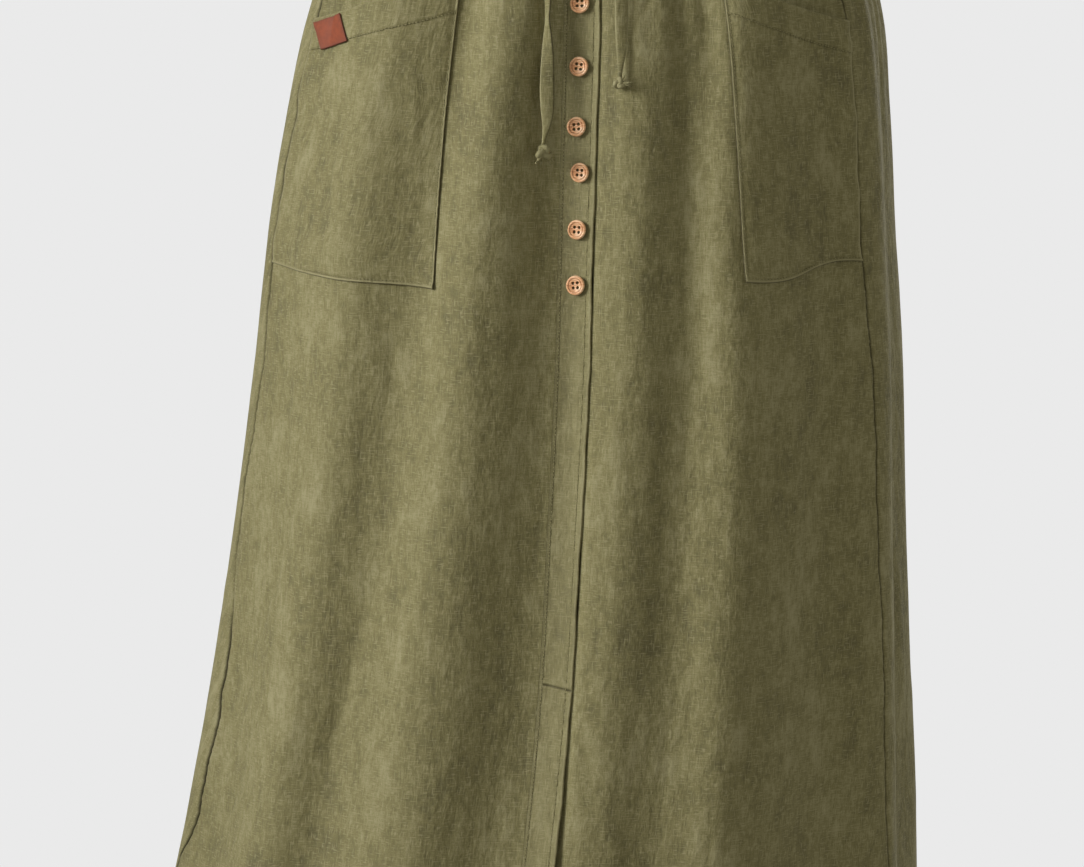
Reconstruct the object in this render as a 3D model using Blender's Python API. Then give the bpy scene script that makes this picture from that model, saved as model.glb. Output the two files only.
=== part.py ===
"""A midi skirt of washed linen, as it hangs on a wearer: gathered waistband with a drawstring,
button band down the front, two patch pockets with slanted openings, and a slit below the band.

The cloth stands as a hollow wall. Sizes are in millimetres, and MM turns them into metres.
Angles run round the skirt in degrees: 0 is the front (-Y), and they grow towards +X, which is
the wearer's left. A drop is the distance below the waistband's top edge.
"""
import math
from collections import namedtuple

import bmesh
import bpy
from mathutils import Matrix, Vector

MM = 0.001

# Driving sizes
SKIRT_LENGTH = 860.0
WAISTBAND_HEIGHT = 40.0
CLOTH = 1.2                  # wall of one layer of linen
BAND_CLOTH = 2.2             # folded cloth of the button band
WAISTBAND_CLOTH = 3.0        # folded casing round the drawstring
SEAM_GAP = 0.3
BAND_WIDTH_TOP = 27.0
BAND_WIDTH_HEM = 23.5
SLIT_TOP = 632.0

# Sections of the skirt, one for each drop: half width, depths to the front and back of the waist's
# centre, shift of the middle along X, squareness (2 is an ellipse), and the angles of the button
# band's middle and of the side seams on the wearer's right and left
Section = namedtuple("Section", "drop half_width front back shift square band right_seam left_seam")
SECTIONS = (
    Section(0, 140, 102, 104, 0, 2.00, -0.6, -62.0, 58.0),
    Section(42, 144, 106, 108, 0, 2.05, -0.5, -62.0, 58.0),
    Section(75, 168, 118, 126, 0, 2.15, -0.4, -62.0, 58.0),
    Section(110, 190, 130, 142, 0, 2.25, -0.2, -62.5, 58.0),
    Section(160, 206, 142, 156, 0, 2.35, 0.0, -64.0, 58.5),
    Section(230, 217, 152, 165, -4, 2.40, 0.8, -66.5, 59.0),
    Section(320, 227, 162, 171, -9, 2.40, 1.6, -68.0, 60.0),
    Section(420, 237, 174, 178, -12, 2.35, 1.8, -68.0, 61.3),
    Section(520, 245, 187, 187, -17, 2.30, 2.0, -69.2, 62.8),
    Section(640, 256, 201, 200, -24, 2.25, 2.2, -67.0, 64.0),
    Section(760, 269, 216, 215, -33, 2.20, 1.8, -67.4, 65.0),
    Section(860, 281, 228, 228, -42, 2.20, 1.4, -73.0, 65.5),
)

# Folds, crest and trough in turn: angle and height off the section at the hip, knee and hem
FOLD_DROPS = (42.0, 200.0, 450.0, 860.0)
Fold = namedtuple("Fold", "hip knee hem hip_rise knee_rise hem_rise")
FOLDS = (
    Fold(-71, -72, -73, 5, 4, 7),
    Fold(-54, -57, -60, -2, -3, -4),
    Fold(-39, -40, -44, 5, 8, 9),
    Fold(-24, -28, -36, -7, -6, -6),
    Fold(-14.2, -16.2, -20, 9, 11, 12),
    Fold(-2.5, 0, -2, -11, -13, -12),
    Fold(13, 12, 10, 5.5, 2.8, 0),
    Fold(22, 20.8, 18, -4.5, -4.2, -3),
    Fold(29, 29.5, 29, 5, 8.5, 9),
    Fold(48, 50, 50, -7, -8.5, -11),
    Fold(65, 66, 66, 3, 5, 7),
    Fold(79, 79, 79, -3, -5, -7),
    Fold(93, 94, 95, 2, 3, 5),
    Fold(106, 107, 107, -3, -6, -10),
    Fold(119, 121, 120, 3, 6, 10),
    Fold(131, 133, 134, -3, -6, -9),
    Fold(145, 146, 149, 5, 8, 13),
    Fold(158, 159, 162, -4, -7, -11),
    Fold(170, 170, 173, 3, 6, 9),
    Fold(183, 182, 184, -3, -5, -9),
    Fold(197, 196, 198, 5, 8, 12),
    Fold(211, 211, 210, -3, -6, -9),
    Fold(224, 225, 223, 3, 6, 10),
    Fold(238, 239, 236, -3, -6, -9),
    Fold(251, 252, 250, 4, 6, 10),
    Fold(267, 268, 268, -3, -5, -8),
)

# Gathers: how many each stretch of cloth has, and how deep they are at each drop. A front's stretches
# run from the side seam to the line of its pocket's inner edge, and on to the button band
GATHERS = {"right": (7, 3), "left": (6, 4), "back": (28,)}
POINTS_PER_GATHER = 4
GATHER_DROPS = (0.0, 40.0, 70.0, 110.0, 160.0, 220.0, 320.0)
GATHER_DEPTHS = (1.3, 1.9, 2.2, 1.9, 1.2, 0.6, 0.0)
GATHER_RELEASE = 3.0         # degrees beside the flat button band over which they set in

# Rows of the cloth's grid: the gathered rows have two columns for each one further down
GATHERED_ROWS = (WAISTBAND_HEIGHT + 2 * SEAM_GAP, 70.0, 105.0, 150.0, 200.0)
HANGING_ROWS = (252.0, 310.0, 380.0, 460.0, 550.0, SLIT_TOP, 705.0, 780.0, SKIRT_LENGTH)

# Where the cloth runs under the band, and how the slit stands open
UNDERLAP_COLUMNS = 4
UNDERLAP_DIP = 2.8
WAIST_UNDERLAP_DIP = 3.8
DIP_RELEASE = 2.6            # degrees beside the band's edge over which the dip runs out
SLIT_LIFT = 7.0
SLIT_SPREAD = 14.0           # degrees beside the slit that lift with it

# Patch pockets: drops of the corners, and how far the inner edge is from the side seam, as a share
# of the front panel's width
Pocket = namedtuple("Pocket", "seam_top inner_top seam_bottom inner_bottom share_top share_bottom")
POCKETS = {
    "right": Pocket(169, 139, 345, 355, 0.646, 0.678),
    "left": Pocket(168, 139, 339, 348, 0.563, 0.528),
}
POCKET_ROWS = 9
POCKET_SEAM_SHARE = 0.012    # share of its width by which the outer edge stops before the side seam
POCKET_CLEARANCE = 0.9
POCKET_GAPE = 4.0            # how far the opening stands off the panel
POCKET_HOLLOW = 4.0          # how far the opening's edge dips below a straight line
LABEL_WIDTH = 31.0
LABEL_HEIGHT = 20.5
LABEL_THICKNESS = 1.2
LABEL_START = 0.055          # share of the pocket's width between the seam and the label
LABEL_SKEW = 0.13            # share of the pocket's width by which its lower edge lies further inwards
LABEL_TILT = 0.011           # share of the pocket's height by which its outer side lies lower
LABEL_CLEARANCE = 0.5

# Buttons: drop of each, and how far it sits beside the band's middle
Button = namedtuple("Button", "drop aside")
BUTTONS = (
    Button(20, 0.0), Button(68, 0.0), Button(111, 0.0), Button(154, -1.0), Button(198, -0.5),
    Button(240, -1.0), Button(272, 2.5), Button(312, 1.6), Button(351, 1.6),
)
BUTTON_RADIUS = 7.0
BUTTON_CLEARANCE = 0.55      # between a flat back and the highest cloth under it
BUTTON_SIDES = 18
# Half of the button's section, as radius and height, from the middle of its back round to its dish
BUTTON_PROFILE = ((6.1, 0.0), (6.9, 0.7), (7.0, 1.6), (6.5, 2.5), (5.9, 2.7), (5.0, 2.0))
BUTTON_DISH = 1.8
HOLE_SPACING = 3.4
HOLE_RADIUS = 1.1
HOLE_SIDES = 6

# Drawstring ends: distance aside of the waist's centre at the hole and at the knot, the knot's drop,
# and how far it stands off the cloth, over how long a stretch of string
STRING_WIDTH = 8.5
STRING_THICKNESS = 1.6
STRING_CLEARANCE = 0.8
STRING_EXIT_DROP = 24.0
STRING_STEPS = 24
DrawstringEnd = namedtuple("DrawstringEnd", "aside knot_aside knot_drop stand_off reach")
DRAWSTRING_ENDS = {
    "right": DrawstringEnd(-25.0, -28.0, 252.0, 7.0, 90.0),
    "left": DrawstringEnd(29.0, 30.5, 205.0, 2.4, 30.0),
}
KNOT_SIDES = 10
KNOT_FLATNESS = 0.62
# Section of a knot and its frayed tail, as radius and distance below the string's end
KNOT_PROFILE = ((1.2, 0.3), (3.5, 1.4), (4.2, 3.8), (3.5, 6.2), (1.9, 7.6), (2.7, 9.8), (3.4, 12.5))

# Finishes: colour as seen in daylight, roughness and metallic value
Finish = namedtuple("Finish", "red green blue roughness metallic")
LINEN = Finish(139, 134, 94, 0.9, 0.0)
LINEN_TAPE = Finish(126, 121, 84, 0.9, 0.0)
WOOD = Finish(186, 138, 98, 0.5, 0.0)
LEATHER = Finish(140, 82, 58, 0.7, 0.0)


def smooth_value(places, values, place):
    """The value at a place on a smooth curve through a table's rows."""
    place = min(max(place, places[0]), places[-1])
    index = 0
    while index < len(places) - 2 and place > places[index + 1]:
        index += 1

    def slope(row):
        before = max(row - 1, 0)
        after = min(row + 1, len(places) - 1)
        return (values[after] - values[before]) / (places[after] - places[before])

    span = places[index + 1] - places[index]
    t = (place - places[index]) / span
    start = (1 + 2 * t) * (1 - t) ** 2 * values[index] + t * (1 - t) ** 2 * span * slope(index)
    end = t * t * (3 - 2 * t) * values[index + 1] - t * t * (1 - t) * span * slope(index + 1)
    return start + end


def ease(amount):
    """0 to 1 with a soft start and end."""
    amount = min(max(amount, 0.0), 1.0)
    return amount * amount * (3 - 2 * amount)


SECTION_DROPS = tuple(section.drop for section in SECTIONS)
SECTION_COLUMNS = {
    name: tuple(getattr(section, name) for section in SECTIONS) for name in Section._fields
}


def section_value(name, drop):
    return smooth_value(SECTION_DROPS, SECTION_COLUMNS[name], drop)


def degrees_at_front(distance, drop):
    """The angle that a distance across the front takes up."""
    return math.degrees(distance / section_value("half_width", drop))


def band_width(drop):
    return BAND_WIDTH_TOP + (BAND_WIDTH_HEM - BAND_WIDTH_TOP) * drop / SKIRT_LENGTH


def band_left_edge(drop):
    """The band's free edge, on the wearer's left."""
    return section_value("band", drop) + degrees_at_front(band_width(drop) / 2, drop)


def band_right_edge(drop):
    """The band's stitched edge, on the wearer's right."""
    return section_value("band", drop) - degrees_at_front(band_width(drop) / 2, drop)


def front_marks(side, drop):
    """Angles across a front panel: its side seam, its pocket's inner edge and the button band."""
    pocket = POCKETS[side]
    way = (drop - pocket.inner_top) / (pocket.inner_bottom - pocket.inner_top)
    share = pocket.share_top + (pocket.share_bottom - pocket.share_top) * min(max(way, 0.0), 1.0)
    seam, edge = section_value("right_seam", drop), band_right_edge(drop)
    if side == "left":
        seam, edge = section_value("left_seam", drop), band_left_edge(drop)
    return seam, seam + (edge - seam) * share, edge


def section_point(angle, drop):
    """A point of the plain section, with no fold."""
    turn = math.radians(angle)
    side = math.sin(turn)
    ahead = math.cos(turn)
    square = section_value("square", drop)
    reach = (abs(side) ** square + abs(ahead) ** square) ** (-1 / square)
    depth = section_value("front" if ahead > 0 else "back", drop)
    x = section_value("shift", drop) + section_value("half_width", drop) * side * reach
    return Vector((x, -depth * ahead * reach, -drop))


def fold_height(angle, drop):
    """Height of the large folds off the section: a cosine from each crest to the next trough."""
    lines = []
    for fold in FOLDS:
        line = smooth_value(FOLD_DROPS, (fold.hip, fold.hip, fold.knee, fold.hem), drop)
        rise = smooth_value(FOLD_DROPS, (0.0, fold.hip_rise, fold.knee_rise, fold.hem_rise), drop)
        lines.append((line, rise))
    angle = (angle - lines[0][0]) % 360 + lines[0][0]
    lines.append((lines[0][0] + 360, lines[0][1]))
    for (start, start_rise), (end, end_rise) in zip(lines, lines[1:]):
        if start <= angle <= end:
            share = 0.5 - 0.5 * math.cos(math.pi * (angle - start) / (end - start))
            return start_rise + (end_rise - start_rise) * share
    return 0.0


def gather_depth(drop):
    return smooth_value(GATHER_DROPS, GATHER_DEPTHS, drop)


def gather_height(angle, drop):
    """Height of the fine gathers, which stop on each side of the flat button band."""
    right_seam = section_value("right_seam", drop)
    left_seam = section_value("left_seam", drop)
    around = (angle - right_seam) % 360 + right_seam
    marks = (left_seam, 360 + right_seam)
    counts = GATHERS["back"]
    release = 1.0
    if around <= band_right_edge(drop):
        marks = front_marks("right", drop)
        counts = GATHERS["right"]
        release = (marks[-1] - around) / GATHER_RELEASE
    elif around <= band_left_edge(drop):
        return 0.0
    elif around <= left_seam:
        marks = front_marks("left", drop)[::-1]
        counts = GATHERS["left"][::-1]
        release = (around - marks[0]) / GATHER_RELEASE
    count = 0.0
    for start, end, gathers in zip(marks, marks[1:], counts):
        count += gathers * min(max((around - start) / (end - start), 0.0), 1.0)
    uneven = 0.8 + 0.2 * math.sin(2.4 * round(count) + 0.05 * around)
    return gather_depth(drop) * uneven * ease(release) * math.cos(2 * math.pi * count)


def layer_height(angle, drop, layer):
    """How far the lapped front stands off the section: over is the band's side, under the other."""
    right_edge = band_right_edge(drop)
    left_edge = band_left_edge(drop)
    opened = ease((drop - SLIT_TOP) / (SKIRT_LENGTH - SLIT_TOP))
    if layer == "over":
        beside = max(right_edge - angle, 0.0) / SLIT_SPREAD
        return SLIT_LIFT * opened * (1 - ease(beside))
    dip = WAIST_UNDERLAP_DIP if layer == "waist_under" else UNDERLAP_DIP
    return -dip * (1 - ease((angle - left_edge) / DIP_RELEASE))


def cloth_middle(angle, drop, layer, gathered=True):
    """A point in the middle of the cloth's wall."""
    point = section_point(angle, drop)
    step = 0.25
    along = section_point(angle + step, drop) - section_point(angle - step, drop)
    outward = Vector((along.y, -along.x, 0.0)).normalized()
    height = fold_height(angle, drop) + layer_height(angle, drop, layer)
    if gathered:
        height += gather_height(angle, drop)
    return point + outward * height


def cloth_normal(angle, drop, layer, gathered=True):
    step_angle = 0.3
    step_drop = 2.0
    across = (cloth_middle(angle + step_angle, drop, layer, gathered)
              - cloth_middle(angle - step_angle, drop, layer, gathered))
    down = (cloth_middle(angle, drop + step_drop, layer, gathered)
            - cloth_middle(angle, drop - step_drop, layer, gathered))
    return down.cross(across).normalized()


def cloth_point(angle, drop, layer, off, gathered=True):
    """A point a distance off the middle of the cloth, outwards where it is positive."""
    middle = cloth_middle(angle, drop, layer, gathered)
    return middle + cloth_normal(angle, drop, layer, gathered) * off


def degrees_for(distance, angle, drop):
    """The angle that a short distance round the section takes up at a place."""
    step = 0.5
    per_step = (section_point(angle + step, drop) - section_point(angle, drop)).length
    return step * distance / per_step


def linear_colour(value):
    value /= 255
    return value / 12.92 if value <= 0.04045 else ((value + 0.055) / 1.055) ** 2.4


def new_material(name, finish):
    material = bpy.data.materials.new(name + "_finish")
    material.use_nodes = True
    shader = material.node_tree.nodes["Principled BSDF"]
    colour = [linear_colour(value) for value in (finish.red, finish.green, finish.blue)]
    shader.inputs["Base Color"].default_value = (*colour, 1.0)
    shader.inputs["Roughness"].default_value = finish.roughness
    shader.inputs["Metallic"].default_value = finish.metallic
    material.diffuse_color = (*colour, 1.0)
    return material


def new_object(name, mesh, finish):
    if not mesh.materials:
        mesh.materials.append(None)
    part = bpy.data.objects.new(name, mesh)
    bpy.context.scene.collection.objects.link(part)
    part.material_slots[0].link = "OBJECT"
    part.material_slots[0].material = new_material(name, finish)
    return part


def join_rows(bm, upper, lower):
    """Faces between two rows of points, which have as many columns, or two for one."""
    if len(upper) == len(lower):
        for column in range(len(upper) - 1):
            bm.faces.new((upper[column], upper[column + 1], lower[column + 1], lower[column]))
        return
    for column in range(len(lower) - 1):
        first, middle, last = upper[2 * column:2 * column + 3]
        bm.faces.new((first, middle, lower[column]))
        bm.faces.new((middle, last, lower[column + 1]))
        bm.faces.new((middle, lower[column + 1], lower[column]))


def mesh_from(name, bm):
    bmesh.ops.recalc_face_normals(bm, faces=bm.faces)
    mesh = bpy.data.meshes.new(name)
    bm.to_mesh(mesh)
    bm.free()
    mesh.shade_smooth()
    mesh.set_sharp_from_angle(angle=math.radians(40))
    return mesh


def new_wall(name, outer_rows, inner_rows, finish):
    """A closed wall between two sheets of points, which have the same rows and columns."""
    bm = bmesh.new()
    outer = [[bm.verts.new(point * MM) for point in row] for row in outer_rows]
    inner = [[bm.verts.new(point * MM) for point in row] for row in inner_rows]
    for upper, lower in zip(outer, outer[1:]):
        join_rows(bm, upper, lower)
    for upper, lower in zip(inner, inner[1:]):
        join_rows(bm, upper, lower)
    join_rows(bm, outer[0], inner[0])
    join_rows(bm, outer[-1], inner[-1])
    join_rows(bm, [row[0] for row in outer], [row[0] for row in inner])
    join_rows(bm, [row[-1] for row in outer], [row[-1] for row in inner])
    return new_object(name, mesh_from(name, bm), finish)


def new_cloth(name, places, layer, thickness, finish, off=0.0, gathered=True):
    """A wall over rows of places, each an angle, a drop and how far it stands off the cloth."""
    sides = []
    for half in (thickness / 2, -thickness / 2):
        sides.append([
            [cloth_point(angle, drop, layer, off + extra + half, gathered)
             for angle, drop, extra in row]
            for row in places
        ])
    return new_wall(name, sides[0], sides[1], finish)


def spread(start, end, count):
    """A number of equal steps from one value to another."""
    return [start + (end - start) * step / count for step in range(count + 1)]


def stretch_angles(marks, counts, divide=1):
    """Angles of the columns between marks round the skirt."""
    angles = []
    for start, end, count in zip(marks, marks[1:], counts):
        angles += spread(start, end, count // divide)[:-1]
    return angles + [marks[-1]]


def gather_columns(side):
    return tuple(POINTS_PER_GATHER * count for count in GATHERS[side])


def new_panel(name, marks_at, counts, layer):
    """A panel from the waist to the hem. marks_at gives the angles of its stretches at a drop."""
    rows = []
    for drop in GATHERED_ROWS + HANGING_ROWS:
        divide = 1 if drop in GATHERED_ROWS else 2
        angles = stretch_angles(marks_at(drop), counts, divide)
        rows.append([(angle, drop, 0.0) for angle in angles])
    new_cloth(name, rows, layer, CLOTH, LINEN)


def make_panels():
    def right_marks(drop):
        seam, pocket, band = front_marks("right", drop)
        seam += degrees_for(SEAM_GAP / 2, seam, drop)
        return seam, pocket, band - degrees_at_front(SEAM_GAP, drop)

    def left_marks(drop):
        seam, pocket, band = front_marks("left", drop)
        under = band_right_edge(drop) + degrees_at_front(SEAM_GAP, drop)
        return under, band, pocket, seam - degrees_for(SEAM_GAP / 2, seam, drop)

    def back_marks(drop):
        start = section_value("left_seam", drop)
        end = section_value("right_seam", drop)
        return (start + degrees_for(SEAM_GAP / 2, start, drop),
                360 + end - degrees_for(SEAM_GAP / 2, end, drop))

    new_panel("front_right_panel", right_marks, gather_columns("right"), "over")
    left_columns = (UNDERLAP_COLUMNS,) + gather_columns("left")[::-1]
    new_panel("front_left_panel", left_marks, left_columns, "under")
    new_panel("back_panel", back_marks, gather_columns("back"), "back")


def make_button_band():
    rows = []
    for drop in GATHERED_ROWS + HANGING_ROWS:
        angles = spread(band_right_edge(drop), band_left_edge(drop), UNDERLAP_COLUMNS)
        rows.append([(angle, drop, 0.0) for angle in angles])
    new_cloth("button_band", rows, "over", BAND_CLOTH, LINEN)


def make_waistband():
    """One strip round the waist, whose end under the button lies inside the other end."""
    counts = ((UNDERLAP_COLUMNS,) + gather_columns("left")[::-1] + gather_columns("back")
              + gather_columns("right") + (UNDERLAP_COLUMNS,))
    rows = []
    for drop in (0.0, WAISTBAND_HEIGHT / 2, WAISTBAND_HEIGHT):
        right = [360 + mark for mark in front_marks("right", drop)]
        marks = [band_right_edge(drop)] + list(front_marks("left", drop)[::-1])
        marks += right + [360 + band_left_edge(drop)]
        rows.append([(angle, drop, 0.0) for angle in stretch_angles(marks, counts)])
    new_cloth("waistband", rows, "waist_under", WAISTBAND_CLOTH, LINEN)


def pocket_place(side, across, down):
    """A place on a pocket: across runs from the side seam inwards, down from the opening."""
    pocket = POCKETS[side]
    top = pocket.seam_top + (pocket.inner_top - pocket.seam_top) * across
    bottom = pocket.seam_bottom + (pocket.inner_bottom - pocket.seam_bottom) * across
    bulge = math.sin(math.pi * across)
    drop = top + (bottom - top) * down + POCKET_HOLLOW * bulge * (1 - down)
    seam, inner, _ = front_marks(side, drop)
    gape = POCKET_GAPE * math.sqrt(max(bulge, 0.0)) * (1 - down) ** 3
    return seam + (inner - seam) * across, drop, gather_depth(drop) + gape


def make_pockets():
    """The pockets' columns stand over the panels' own."""
    for side in POCKETS:
        across = spread(0.0, 1.0, gather_columns(side)[0] // 2)
        across[0] = POCKET_SEAM_SHARE
        layer = "over"
        if side == "left":
            across.reverse()
            layer = "under"
        rows = [[pocket_place(side, share, down) for share in across]
                for down in spread(0.0, 1.0, POCKET_ROWS)]
        off = CLOTH + POCKET_CLEARANCE
        new_cloth(f"pocket_{side}", rows, layer, CLOTH, LINEN, off, False)


def make_label():
    """The patch on the right pocket's hem, made from the pocket's places, moved out."""
    start = pocket_place("right", LABEL_START, 0.05)
    seam, inner, _ = front_marks("right", start[1])
    end = LABEL_START + degrees_for(LABEL_WIDTH, start[0] + 4, start[1]) / (inner - seam)
    height = LABEL_HEIGHT / (POCKETS["right"].seam_bottom - POCKETS["right"].seam_top)
    rows = []
    for way in spread(0.0, 1.0, 3):
        row = []
        for aside in spread(0.0, 1.0, 5):
            across = LABEL_START + (end - LABEL_START) * aside + LABEL_SKEW * way
            row.append(pocket_place("right", across, 0.01 + height * way + LABEL_TILT * (1 - aside)))
        rows.append(row)
    off = CLOTH + POCKET_CLEARANCE + CLOTH / 2 + LABEL_CLEARANCE + LABEL_THICKNESS / 2
    new_cloth("leather_label", rows, "over", LABEL_THICKNESS, LEATHER, off, False)


def new_turned(bm, profile, sides):
    """Rings of points round the Z axis, one for each radius and height, joined to each other."""
    rings = []
    for radius, height in profile:
        ring = []
        for side in range(sides):
            turn = 2 * math.pi * side / sides
            ring.append(bm.verts.new(Vector((radius * math.cos(turn), radius * math.sin(turn), height)) * MM))
        rings.append(ring)
    for lower, upper in zip(rings, rings[1:]):
        for side in range(sides):
            after = (side + 1) % sides
            bm.faces.new((lower[side], lower[after], upper[after], upper[side]))
    return rings


def button_mesh():
    """A dished wooden button with four holes through it."""
    bm = bmesh.new()
    rings = new_turned(bm, BUTTON_PROFILE + ((3.4, BUTTON_DISH),), BUTTON_SIDES)
    bm.faces.new(rings[0][::-1])
    bm.faces.new(rings[-1])
    blank = new_object("button_blank", mesh_from("button_blank", bm), WOOD)

    bm = bmesh.new()
    for x in (-1, 1):
        for y in (-1, 1):
            place = Matrix.Translation(Vector((x, y, 1.0)) * (HOLE_SPACING / 2 * MM))
            bmesh.ops.create_cone(bm, cap_ends=True, segments=HOLE_SIDES, radius1=HOLE_RADIUS * MM,
                                  radius2=HOLE_RADIUS * MM, depth=3 * BUTTON_RADIUS * MM, matrix=place)
    cutter = new_object("button_holes", mesh_from("button_holes", bm), WOOD)

    holes = blank.modifiers.new("holes", "BOOLEAN")
    holes.operation = "DIFFERENCE"
    holes.solver = "EXACT"
    holes.object = cutter
    mesh = bpy.data.meshes.new_from_object(blank.evaluated_get(bpy.context.evaluated_depsgraph_get()))
    mesh.name = "button"
    bpy.data.objects.remove(blank, do_unlink=True)
    bpy.data.objects.remove(cutter, do_unlink=True)
    return mesh


def make_buttons():
    mesh = button_mesh()
    for number, button in enumerate(BUTTONS, start=1):
        angle = section_value("band", button.drop) + degrees_at_front(button.aside, button.drop)
        cloth = WAISTBAND_CLOTH if button.drop < WAISTBAND_HEIGHT else BAND_CLOTH
        centre = cloth_point(angle, button.drop, "over", cloth / 2)
        normal = cloth_normal(angle, button.drop, "over")
        seat = 0.0
        for side in range(8):
            turn = 2 * math.pi * side / 8
            reach = degrees_at_front(BUTTON_RADIUS * math.cos(turn), button.drop)
            rim = cloth_point(angle + reach, button.drop + BUTTON_RADIUS * math.sin(turn), "over", cloth / 2)
            seat = max(seat, (rim - centre).dot(normal))
        part = new_object(f"button_{number}", mesh, WOOD)
        turn = normal.to_track_quat("Z", "Y").to_matrix().to_4x4()
        part.matrix_world = Matrix.Translation((centre + normal * (seat + BUTTON_CLEARANCE)) * MM) @ turn


def string_frame(end, drop, off):
    """A point over the cloth that a drawstring end hangs at, with the ways across and out."""
    way = (drop - STRING_EXIT_DROP) / (end.knot_drop - STRING_EXIT_DROP)
    aside = end.aside + (end.knot_aside - end.aside) * way
    share = (aside - section_value("shift", drop)) / section_value("half_width", drop)
    angle = math.degrees(math.asin(share))
    layer = "over" if aside < 0 else "under"
    normal = cloth_normal(angle, drop, layer, False)
    point = cloth_point(angle, drop, layer, off, False)
    across = Vector((0, 0, 1)).cross(normal).normalized()
    return point, across, normal


def string_off(end, drop):
    """Height of the string's middle over the cloth's: clear of the gathers, and out to its knot."""
    if drop <= WAISTBAND_HEIGHT:
        under = WAISTBAND_CLOTH / 2
    else:
        under = WAISTBAND_CLOTH / 2 + (CLOTH - WAISTBAND_CLOTH) / 2 * ease((drop - WAISTBAND_HEIGHT) / 60)
    knot = end.stand_off * ease((drop - end.knot_drop + end.reach) / end.reach)
    return under + gather_depth(drop) + STRING_CLEARANCE + STRING_THICKNESS / 2 + knot


def make_drawstring_ends():
    for side, end in DRAWSTRING_ENDS.items():
        face = WAISTBAND_CLOTH / 2 + gather_depth(STRING_EXIT_DROP) + SEAM_GAP
        point, across, normal = string_frame(end, STRING_EXIT_DROP, face)
        rings = [(point, across, Vector((0, 0, 1)))]
        for drop in spread(STRING_EXIT_DROP, end.knot_drop, STRING_STEPS)[1:]:
            rings.append(string_frame(end, drop, string_off(end, drop)))
        half_width = STRING_WIDTH / 2
        half = STRING_THICKNESS / 2
        corners = ((half_width, half), (-half_width, half), (-half_width, -half), (half_width, -half))
        bm = bmesh.new()
        loops = []
        for point, across, out in rings:
            loops.append([bm.verts.new((point + across * a + out * b) * MM) for a, b in corners])
        for first, second in zip(loops, loops[1:]):
            for corner in range(4):
                after = (corner + 1) % 4
                bm.faces.new((first[corner], first[after], second[after], second[corner]))
        bm.faces.new(loops[0])
        bm.faces.new(loops[-1][::-1])
        new_object(f"drawstring_{side}", mesh_from(f"drawstring_{side}", bm), LINEN_TAPE)

        bm = bmesh.new()
        knot = new_turned(bm, KNOT_PROFILE, KNOT_SIDES)
        bm.faces.new(knot[0])
        bm.faces.new(knot[-1][::-1])
        part = new_object(f"knot_{side}", mesh_from(f"knot_{side}", bm), LINEN_TAPE)
        point, across, normal = string_frame(end, end.knot_drop, string_off(end, end.knot_drop))
        flat = Matrix.Diagonal((1.0, KNOT_FLATNESS, 1.0, 1.0))
        turn = Matrix((across, -normal, across.cross(-normal))).transposed().to_4x4()
        stand = Matrix.Rotation(math.pi, 4, "Y")
        part.matrix_world = Matrix.Translation(point * MM) @ turn @ stand @ flat


def main():
    for old in list(bpy.data.objects):
        bpy.data.objects.remove(old, do_unlink=True)
    make_waistband()
    make_panels()
    make_button_band()
    make_pockets()
    make_label()
    make_buttons()
    make_drawstring_ends()
    up = Matrix.Translation((0, 0, WAISTBAND_HEIGHT / 2 * MM))
    for part in bpy.context.scene.objects:
        part.matrix_world = up @ part.matrix_world


main()
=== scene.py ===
"""The looks of a midi skirt of washed linen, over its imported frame.

The skirt hangs as it is worn: gathered waistband, button band, two patch pockets with slanted
openings, drawstring ends and a slit. Sizes are in millimetres, and MM turns them into metres.
Angles run round the skirt in degrees: 0 is the front (-Y), and they grow towards +X, which is the
wearer's left. A drop is the distance below the waistband's top edge.
"""
import math
from collections import namedtuple

import bmesh
import bpy
import numpy as np
from bpy.props import FloatProperty, FloatVectorProperty, PointerProperty
from bpy.types import Operator, Panel, PropertyGroup
from mathutils import Matrix, Vector


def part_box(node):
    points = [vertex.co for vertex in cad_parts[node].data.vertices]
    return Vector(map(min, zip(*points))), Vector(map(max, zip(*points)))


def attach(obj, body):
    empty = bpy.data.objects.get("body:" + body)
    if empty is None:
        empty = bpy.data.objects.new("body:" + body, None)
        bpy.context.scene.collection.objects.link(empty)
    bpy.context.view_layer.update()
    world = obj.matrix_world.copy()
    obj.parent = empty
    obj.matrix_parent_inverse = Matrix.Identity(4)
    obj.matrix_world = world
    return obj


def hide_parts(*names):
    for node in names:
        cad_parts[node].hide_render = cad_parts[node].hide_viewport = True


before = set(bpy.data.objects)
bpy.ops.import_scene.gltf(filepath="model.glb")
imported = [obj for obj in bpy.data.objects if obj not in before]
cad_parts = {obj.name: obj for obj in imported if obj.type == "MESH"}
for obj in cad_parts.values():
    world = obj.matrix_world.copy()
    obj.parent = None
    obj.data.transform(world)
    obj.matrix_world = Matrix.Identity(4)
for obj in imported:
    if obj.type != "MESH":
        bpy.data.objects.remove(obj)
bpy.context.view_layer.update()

bl_info = {
    "name": "Linen midi skirt",
    "version": (1, 0, 0),
    "blender": (4, 5, 0),
    "location": "3D View > Sidebar > Skirt",
    "description": "Dresses the frame of a gathered linen midi skirt with cloth, trim and sewing",
    "category": "Add Mesh",
}

MM = 0.001
UP = np.array([0.0, 0.0, 1.0])


def table(columns, *rows):
    """Rows of values, whose columns have names."""
    row = namedtuple("Row", columns)
    return [row(*values) for values in rows]


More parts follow.
